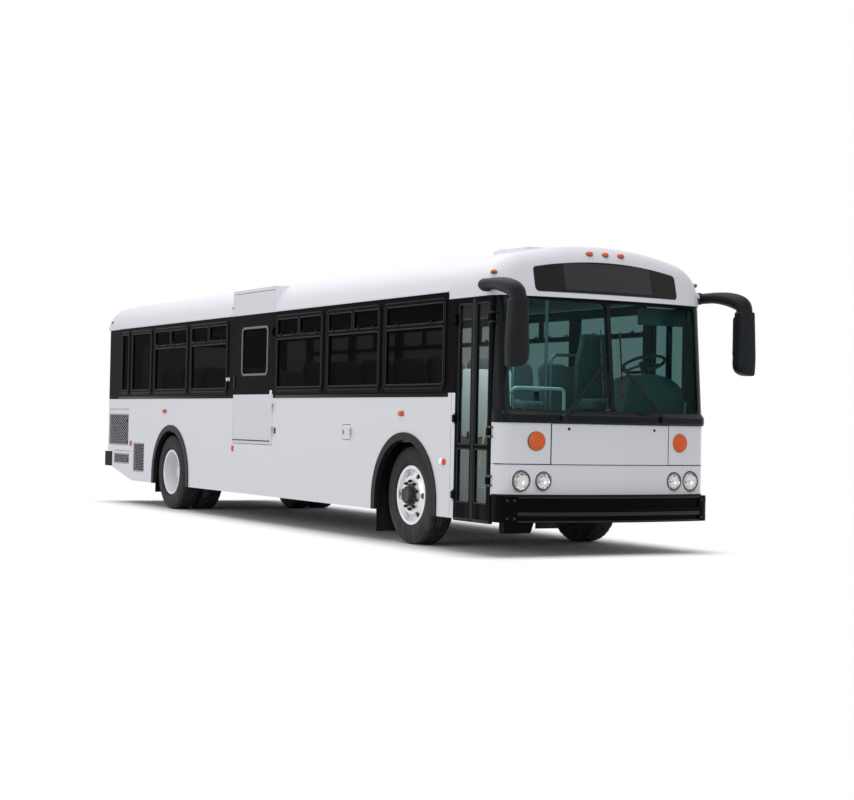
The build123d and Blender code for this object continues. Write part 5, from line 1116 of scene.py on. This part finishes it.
def makeLiftDoor():
    wall = onWall(-1)
    rubber, rail, posts, latch, hinge = newShapes(5)
    near, far, low, high = liftSpec["pane"]
    sweepLoop(rubber, roundLoop(at(far), at(near), low, high, 0.06, 6), liftSpec["rubber"], wall)
    front, rear, v0, v1 = liftSpec["drip"]
    slab(rail, (at(rear), -half - 0.006, v0), (at(front), -half + 0.004, v1), 0.002)
    rear, front, v0, v1 = liftSpec["handle"]
    plate(rail, roundLoop(at(rear), at(front), v0, v1, 0.012, 4), 0.012, wall, 0.004)
    makePiece("liftRubber", rubber, "trim", "lift_door")
    makePiece("liftRail", rail, "seal", "lift_door")
    station, z = liftSpec["knob"]
    turned(posts, liftSpec["knobRows"], lambda u, v, w: (at(station) + u, -half - w, z + v), 24)
    bs, bz = liftSpec["bracket"]
    plate(posts, roundLoop(at(bs) - 0.036, at(bs) + 0.03, bz - 0.02, bz + 0.02, 0.006, 4), 0.007, wall, 0.003)
    rear, front, v0, v1 = liftSpec["hinge"]
    plate(hinge, roundLoop(at(rear), at(front), v0, v1, 0.012, 4), 0.006, wall, 0.002)
    makePiece("liftBracket", hinge, "white", "lift_door")
    ls, lz = liftSpec["latch"]
    plate(latch, padLoop(at(ls), lz, 0.018, 0.035, 0.010, 4), 0.008, wall, 0.003)
    makePiece("liftPosts", posts, "white", "body")
    makePiece("liftLatch", latch, "plastic", "body")


makeLiftDoor()

# Bolts in the bumper's end caps and screws in the fascia
frontFix = {"bolts": ((1.09, 0.375, 0.004), (1.09, 0.545, 0.004), (1.15, 0.375, 0.018), (1.15, 0.545, 0.018)),
            "screws": ((0.498, 1.22),), "bolt": (0.015, 0.009, 6, 0.009, 0.004),
            "screw": (0.015, 0.004, 14, 0.008, 0.001)}


def bumperX(y):
    return noseX + nose["out"] + nose["bumper"] + nose["bow"] * (1 - (y / half) ** 2)


def makeFrontFix():
    spots = [((bumperX(y) - sunk, hand * y, z), (1, hand * 0.2, 0))
             for hand in (-1, 1) for y, z, sunk in frontFix["bolts"]]
    fasten("bumperBolts", spots, frontFix["bolt"], "steel", "body")
    spots = [((noseSkin(y, z) - 0.001, hand * y, z), (1, hand * 0.1, 0))
             for hand in (-1, 1) for y, z in frontFix["screws"]]
    fasten("fasciaScrews", spots, frontFix["screw"], "plastic", "body")


makeFrontFix()

# Dark joints between the fascia panels and above the bumper, with the pale lip under the long joint, ribs and a bead
seamSpec = {"z": 0.881, "ribs": ((0.573, 0.0105, 0.008), (0.418, 0.0260, 0.0205), (0.347, 0.0100, 0.006)),
            "ribReach": 1.055, "cowl": (1.09, 1.351, 0.036), "y": ((-0.685, 0.0062), (0.685, 0.0045)),
            "top": 1.268, "bumper": 0.587, "sunk": 0.0015}


def makeSeams():
    seams, lip, seal, ribs, bead = newShapes(5)
    z, sunk, (reach, cowlZ, out) = seamSpec["z"], seamSpec["sunk"], seamSpec["cowl"]
    across = [-1 + 2 * k / 32 for k in range(33)]
    pipe(seams, nosePath(z, sunk), 0.0045, 8)
    pipe(lip, nosePath(z - 0.011, 0.001), 0.0040, 8)
    for ribZ, radius, deep in seamSpec["ribs"]:
        places = [seamSpec["ribReach"] * s for s in across]
        pipe(ribs, [(bumperX(y) - deep, y, ribZ) for y in places], radius, 12)
    pipe(bead, [(noseSkin(reach * s, 1.35) + out, reach * s, cowlZ) for s in across], 0.010, 10)
    for y, radius in seamSpec["y"]:
        x = noseSkin(y, 1.0) - sunk
        pipe(seams, [(x, y, z + 0.004), (x, y, seamSpec["top"])], radius, 8)
    pipe(seal, nosePath(seamSpec["bumper"], 0.004, 78), 0.0125, 10)
    makePiece("fasciaSeams", seams, "plastic", "body")
    makePiece("fasciaLip", lip, "white", "body")
    makePiece("bumperRibs", ribs, "rubberGloss", "body")
    makePiece("cowlBead", bead, "rubberGloss", "body")
    makePiece("bumperSeal", seal, "plastic", "body")


makeSeams()
print("front fixings made")

# Inside: the screen and rail before the steps, the sun visor on its rod, and gauges in the dash hood
cabin = {"screen": (-1.10, -0.535, 1.12, 1.79), "screenX": (0.85, 0.022), "gaugeX": 0.43,
         "rail": ((5.255, -1.11, 1.44), (5.255, -1.07, 1.48), (5.255, -0.95, 1.600), (5.255, -0.90, 1.604),
                  (5.255, -0.46, 1.604), (5.255, -0.385, 1.600), (5.255, -0.375, 1.53), (5.255, -0.375, 1.38)),
         "visor": ((5.19, 0.52, 2.27), (5.205, 1.10, 2.43)), "rod": ((5.2, 0.54, 2.436), (5.2, 1.08, 2.436)),
         "gauges": ((0.56, 1.63, 0.05), (0.70, 1.65, 0.065), (0.84, 1.63, 0.05), (0.63, 1.53, 0.032),
                    (0.77, 1.53, 0.032))}


def makeCabin():
    rail, visor, dials, faces, walls = newShapes(5)
    station, ahead = cabin["screenX"]
    plate(walls, roundLoop(*cabin["screen"], 0.03, 4), 0.012, lambda u, v, w: (at(station) + ahead + w, u, v), 0.003)
    makePiece("stepScreen", walls, "paleWall", "body")
    pipe(rail, curvePoints(cabin["rail"], 6), 0.016, 14)
    low, high = cabin["visor"]
    slab(visor, low, high, 0.006, 3)
    pipe(visor, cabin["rod"], 0.008, 10)
    x = at(cabin["gaugeX"])
    for y, z, r in cabin["gauges"]:
        place = lambda u, v, w, y=y, z=z: (x - w, y + u, z + v)
        turned(dials, ((r + 0.008, 0.0), (r + 0.008, 0.008), (r + 0.003, 0.012), (r, 0.008), (r, 0.0)), place, 32, True)
        turned(faces, ((r, 0.0), (r, 0.003), (0.0, 0.003)), place, 32)
        pipe(dials, [place(0, 0, 0.005), place(-0.6 * r, 0.5 * r, 0.005)], 0.0025, 6)
    makePiece("stepRail", rail, "paleRail", "body")
    makePiece("sunVisor", visor, "dash", "body")
    makePiece("gaugeRims", dials, "paleTrim", "body")
    makePiece("gaugeFaces", faces, "dark", "body")


makeCabin()
print("cabin made")

# Small fittings on the lids and doors: fuel latch, engine-door hoods and handle, hatch ribs, joints by the grilles
lidSpec = {"fuel": (3.195, 1.133), "fuelPull": (0.016, 0.026), "hoods": (9, 0.945, 0.045), "hood": (0.49, 0.024),
           "hoodTop": 0.022, "slope": (0.45, 0.85), "handle": (0.07, 0.028, 0.868), "hatch": (1.25, 0.30, 3.051),
           "ribs": (-0.2, -0.1, 0.0, 0.1, 0.2), "rim": ((-0.012, 0.0), (-0.009, 0.006), (0.009, 0.006), (0.012, 0.0)),
           "vent": (10.285, 11.15, 1.336, 1.356), "ventLow": (10.20, 10.92, 0.748, 0.754)}


def makeLids():
    latch, hoods, handle, ribs, lips, joints = newShapes(6)
    wall = onWall(-1)
    station, z = lidSpec["fuel"]
    wide, tall = lidSpec["fuelPull"]
    plate(latch, padLoop(at(station), z, wide, tall, 0.012, 5), 0.006, wall, 0.002)
    plate(latch, padLoop(at(station), z, 0.006, 0.6 * tall, 0.004, 4), 0.011, wall, 0.002)
    makePiece("fuelLatch", latch, "paleTrim", "fuel_lid")
    count, first, pitch = lidSpec["hoods"]
    reach, drop = lidSpec["hood"]
    flat, steep = lidSpec["slope"]
    for k in range(count):
        top = first + pitch * k + lidSpec["hoodTop"]
        plate(hoods, roundLoop(-reach, reach, 0.0, drop, 0.006, 3), 0.002, lambda u, v, out, top=top: (
            tailX - flat * v - steep * out, u, top - steep * v + flat * out), 0.0006)
    makePiece("engineHoods", hoods, "white", "engine_door")
    wide, tall, z = lidSpec["handle"]
    tail = lambda u, v, out: (tailX - out, u, v)
    plate(handle, roundLoop(-wide, wide, z - tall, z + tall, 0.012, 5), 0.005, tail, 0.002)
    plate(handle, roundLoop(-0.7 * wide, 0.7 * wide, z - 0.5 * tall, z + 0.4 * tall, 0.008, 4), 0.014, tail, 0.004)
    makePiece("engineHandle", handle, "plastic", "engine_door")
    station, reach, height = lidSpec["hatch"]
    top = lambda u, v, out: (at(station) + u, v, height + out)
    for y in lidSpec["ribs"]:
        plate(ribs, roundLoop(-reach + 0.03, reach - 0.03, y - 0.014, y + 0.014, 0.010, 4), 0.006, top, 0.003)
    sweepLoop(ribs, roundLoop(-reach, reach, -reach, reach, 0.04, 5), lidSpec["rim"], top)
    makePiece("hatchRibs", ribs, "white", "roof_hatch")
    for hand in (-1, 1):
        side = onWall(hand)
        near, far, v0, v1 = lidSpec["vent"]
        plate(lips, roundLoop(at(far), at(near), v0, v1, 0.006, 3), 0.007, side, 0.003)
        plate(joints, roundLoop(at(far), at(near), v1 + 0.002, v1 + 0.009, 0.003, 3), 0.002, side, 0.0006)
        near, far, v0, v1 = lidSpec["ventLow"]
        plate(joints, roundLoop(at(far), at(near), v0, v1, 0.0025, 3), 0.0015, side, 0.0005)
    makePiece("ventLips", lips, "white", "body")
    makePiece("ventJoints", joints, "seal", "body")


makeLids()
print("lids made")


# Padded seats: each pad is remeshed, blown up as cloth, given its sewn channels and thinned
padSpec = {"voxel": 0.009, "press": 4.0, "frames": 20, "cap": 0.016, "channels": (0.075, 0.005, 0.010), "skin": 0.02,
           "keep": 0.16}


def puff(name, shape, cap, toChannel, keep, voxel=padSpec["voxel"]):
    bmesh.ops.recalc_face_normals(shape, faces=shape.faces)
    mesh = bpy.data.meshes.new(name)
    shape.to_mesh(mesh)
    shape.free()
    pad = bpy.data.objects.new(name + "Form", mesh)
    scene.collection.objects.link(pad)

    def settle():
        result = bpy.data.meshes.new_from_object(pad.evaluated_get(bpy.context.evaluated_depsgraph_get()))
        pad.modifiers.clear()
        pad.data = result
        return result
    remesh = pad.modifiers.new("remesh", "REMESH")
    remesh.mode, remesh.voxel_size = "VOXEL", voxel
    still = [vert.co.copy() for vert in settle().vertices]
    cloth = pad.modifiers.new("cloth", "CLOTH")
    cloth.settings.use_pressure = True
    cloth.settings.uniform_pressure_force = padSpec["press"]
    cloth.settings.effector_weights.gravity = 0
    cloth.point_cache.frame_start, cloth.point_cache.frame_end = 1, padSpec["frames"]
    for frame in range(1, padSpec["frames"] + 1):
        scene.frame_set(frame)
    settle()
    scene.frame_set(1)
    for vert, start in zip(pad.data.vertices, still):
        move = vert.co - start
        if move.length > cap:
            vert.co = start + move * (cap / move.length)
        vert.co += Vector(toChannel(start))
    if keep < 1:
        pad.modifiers.new("thin", "DECIMATE").ratio = keep
        settle()
    return pad


# Two soft grooves along a pad, pressed in along its face
def channel(spot):
    middle, deep, wide = padSpec["channels"]
    return deep * math.exp(-((abs(spot) - middle) / wide) ** 2)


# Bench pads: one cushion and one leaning back, repeated at every seat; stations are in millimetres
benchSpec = {"kerb": (1500, 2250, 3000, 3750, 4500, 6950, 7700, 8450, 9200), "left": tuple(range(2250, 9001, 750)),
             "y": 0.669, "z": 1.1, "seatY": 0.24, "width": 0.212, "cushion": (0.045, 0.470, 0.315, 0.395),
             "hip": (0.026, 0.33), "lean": (0.985, 0.17), "tall": 0.525, "thick": 0.055}


def benchTree():
    tree, keys, start, end = pieceTree("benches", [("Pad", "NodeSocketObject", None)])
    pad = addNode(tree, "GeometryNodeObjectInfo", {"Object": start["Pad"]})
    spread = addNode(tree, "GeometryNodeInstanceOnPoints",
                     {"Points": start["Geometry"], "Instance": pad.outputs["Geometry"]})
    closeTree(tree, spread.outputs[0], start, end)
    return tree, keys


def makeBenches():
    spec = benchSpec
    tree, keys = benchTree()
    points = bpy.data.meshes.new("benchPoints")
    places = [(at(station / 1000), hand * spec["y"] + seat * spec["seatY"], spec["z"])
              for hand, row in ((-1, spec["kerb"]), (1, spec["left"])) for station in row for seat in (-1, 1)]
    points.from_pydata(places, [], [])
    cushion, back = newShapes(2)
    x0, x1, z0, z1 = spec["cushion"]
    w = spec["width"]
    plate(cushion, roundLoop(x0, x1, -w, w, 0.05, 5), z1 - z0, lambda u, v, out: (u, v, z0 + out), 0.02)
    ahead, rise = spec["lean"]
    normal, up = Vector((ahead, 0, rise)), Vector((-rise, 0, ahead))
    hip = Vector((spec["hip"][0], 0, spec["hip"][1]))
    plate(back, roundLoop(-w, w, 0.0, spec["tall"], 0.11, 7), spec["thick"],
          lambda u, v, out: hip + Vector((0, u, 0)) + up * v + normal * out, 0.015)

    def pressSeat(p):
        return (0, 0, -channel(p.y) if p.z > z1 - padSpec["skin"] else 0)

    def pressBack(p):
        outer = (p - hip).dot(normal) > spec["thick"] - padSpec["skin"]
        return -normal * channel(p.y) if outer else (0, 0, 0)
    seat = puff("benchCushion", cushion, padSpec["cap"], pressSeat, padSpec["keep"])
    rest = puff("benchBack", back, padSpec["cap"], pressBack, padSpec["keep"])
    for name, pad in (("benchCushions", seat), ("benchBacks", rest)):
        mesh = runTree(tree, keys, points.copy(), {"Pad": pad}, "seat")
        piece = addPiece(name, mesh, "seat", "body", 80)
        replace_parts(piece, "seats")
        bpy.data.objects.remove(pad)


makeBenches()
print("benches made")

# Driver's seat: a padded cushion and tall tapered back on a bellows pedestal
driverSpec = {"x": 4.36, "y": 0.70, "floor": 1.1, "cushion": (0.225, 0.24, 1.425, 1.525), "back": (4.115, 0.085),
              "cap": 0.014, "folds": (6, 0.035, 0.053, 0.036), "foot": ((0.0, 0.0), (0.148, 0.0), (0.148, 0.02)),
              "top": ((0.146, 0.262), (0.146, 0.300), (0.20, 0.302), (0.20, 0.318), (0.0, 0.318)),
              "outline": ((-0.215, 1.50), (0.215, 1.50), (0.220, 1.90), (0.140, 2.232), (-0.140, 2.232),
                          (-0.220, 1.90))}


def makeDriverSeat():
    spec = driverSpec
    cushion, back, base = newShapes(3)
    hx, hy, z0, z1 = spec["cushion"]
    x, y = spec["x"], spec["y"]
    plate(cushion, roundLoop(x - hx, x + hx, y - hy, y + hy, 0.08, 6), z1 - z0, lambda u, v, out: (u, v, z0 + out),
          0.02)
    front, deep = spec["back"]
    rings = [[back.verts.new((px, y + u, v)) for u, v in spec["outline"]] for px in (front, front + deep)]
    for i in range(len(spec["outline"])):
        j = (i + 1) % len(spec["outline"])
        back.faces.new((rings[0][i], rings[0][j], rings[1][j], rings[1][i]))
    back.faces.new(rings[0][::-1])
    back.faces.new(rings[1])

    def pressSeat(p):
        return (0, 0, -channel(p.y - y) if p.z > z1 - padSpec["skin"] else 0)

    def pressBack(p):
        return (-channel(p.y - y) if p.x > front + deep - padSpec["skin"] else 0, 0, 0)
    seat = puff("driverCushion", cushion, spec["cap"], pressSeat, 1)
    rest = puff("driverBack", back, padSpec["cap"], pressBack, 1)
    for name, pad in (("driverCushion", seat), ("driverBack", rest)):
        mesh = pad.data.copy()
        bpy.data.objects.remove(pad)
        piece = addPiece(name + "Pad", mesh, "driverCloth", "body", 80)
        piece.modifiers.new("smooth", "SUBSURF").levels = 1
        piece.modifiers["smooth"].render_levels = 1
        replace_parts(piece, "driver_seat")
    count, inner, outer, pitch = spec["folds"]
    folds = []
    for k in range(count):
        folds += [(0.118, inner + pitch * k), (0.138, outer + pitch * k)]
    turned(base, [*spec["foot"], *folds, *spec["top"]], lambda u, v, w: (x + u, y + v, spec["floor"] + w), 32)
    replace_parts(makePiece("driverPedestal", base, "plastic", "body"), "driver_seat")


makeDriverSeat()
print("driver seat made")


# Studio: a pale floor that fades into the white background, one broad overhead light and soft fills
floorSpec = {"radius": 40, "colour": (0.80, 0.80, 0.80), "halfLength": 5.15, "halfWidth": 1.12, "fade": (0.02, 0.62)}


def makeFloor():
    mesh = bpy.data.meshes.new("floorPlane")
    edge = bmesh.new()
    bmesh.ops.create_circle(edge, cap_ends=True, segments=96, radius=floorSpec["radius"])
    edge.to_mesh(mesh)
    edge.free()
    plane = bpy.data.objects.new("studioFloor", mesh)
    scene.collection.objects.link(plane)
    material, tree, out = newMaterial("studioFloor")
    place, beyond = objectPlace(tree), []
    for axis, reach in (("X", floorSpec["halfLength"]), ("Y", floorSpec["halfWidth"])):
        past = mathNode(tree, "SUBTRACT", mathNode(tree, "ABSOLUTE", axisOf(tree, place, axis)), reach)
        beyond.append(mathNode(tree, "POWER", mathNode(tree, "MAXIMUM", past, 0.0), 2.0))
    away = mathNode(tree, "SQRT", mathNode(tree, "ADD", *beyond))
    matte = addNode(tree, "ShaderNodeBsdfDiffuse", {"Color": (*floorSpec["colour"], 1)})
    gone = addNode(tree, "ShaderNodeBsdfTransparent")
    mixed = addNode(tree, "ShaderNodeMixShader", {0: ramp(tree, away, *floorSpec["fade"]), 1: matte.outputs[0],
                                                  2: gone.outputs[0]})
    tree.links.new(mixed.outputs[0], out.inputs["Surface"])
    mesh.materials.append(material)


# White where the camera sees it, through glass or in a reflection, and a weaker cool fill for all other light
worldSpec = {"fill": (0.93, 0.95, 1.0), "strength": 0.55}


def makeWorld():
    world = bpy.data.worlds.new("studio")
    world.use_nodes = True
    tree = world.node_tree
    tree.nodes.clear()
    out = addNode(tree, "ShaderNodeOutputWorld")
    path = addNode(tree, "ShaderNodeLightPath")
    seen = mathNode(tree, "MAXIMUM", path.outputs["Is Camera Ray"], path.outputs["Is Transmission Ray"])
    seen = mathNode(tree, "MAXIMUM", seen, path.outputs["Is Glossy Ray"])
    fill = addNode(tree, "ShaderNodeBackground", {"Color": (*worldSpec["fill"], 1), "Strength": worldSpec["strength"]})
    plain = addNode(tree, "ShaderNodeBackground", {"Color": (1, 1, 1, 1), "Strength": 1.0})
    both = addNode(tree, "ShaderNodeMixShader", {0: seen, 1: fill.outputs[0], 2: plain.outputs[0]})
    tree.links.new(both.outputs[0], out.inputs["Surface"])
    scene.world = world


# Area lights: place, aim, size and power
studioLamps = {
    "overhead": ((0, -1.5, 9.5), (0, 0, 0), (16, 9), 565),
    "sideFill": ((4, -14, 5), (0, 0, 1.2), (14, 6), 308),
    "frontFill": ((17, -3, 5), (4, 0, 1.5), (7, 6), 155),
    "cabinFill": ((0.6, 0, 2.84), (0.6, 0, 0), (8.6, 1.1), 50),
    "stepFill": ((4.95, -0.80, 2.38), (4.95, -0.80, 0), (0.6, 0.45), 9),
}


def addLamp(name, place, aim, size, power):
    data = bpy.data.lights.new(name, "AREA")
    data.shape, data.size, data.size_y, data.energy = "RECTANGLE", size[0], size[1], power
    lamp = bpy.data.objects.new(name, data)
    scene.collection.objects.link(lamp)
    turn = (Vector(aim) - Vector(place)).to_track_quat("-Z", "Y").to_matrix().to_4x4()
    lamp.matrix_world = Matrix.Translation(place) @ turn
    lamp.visible_camera = False


makeFloor()
makeWorld()
for name, values in studioLamps.items():
    addLamp(name, *values)
print("studio set")

scene.view_settings.view_transform = "Standard"
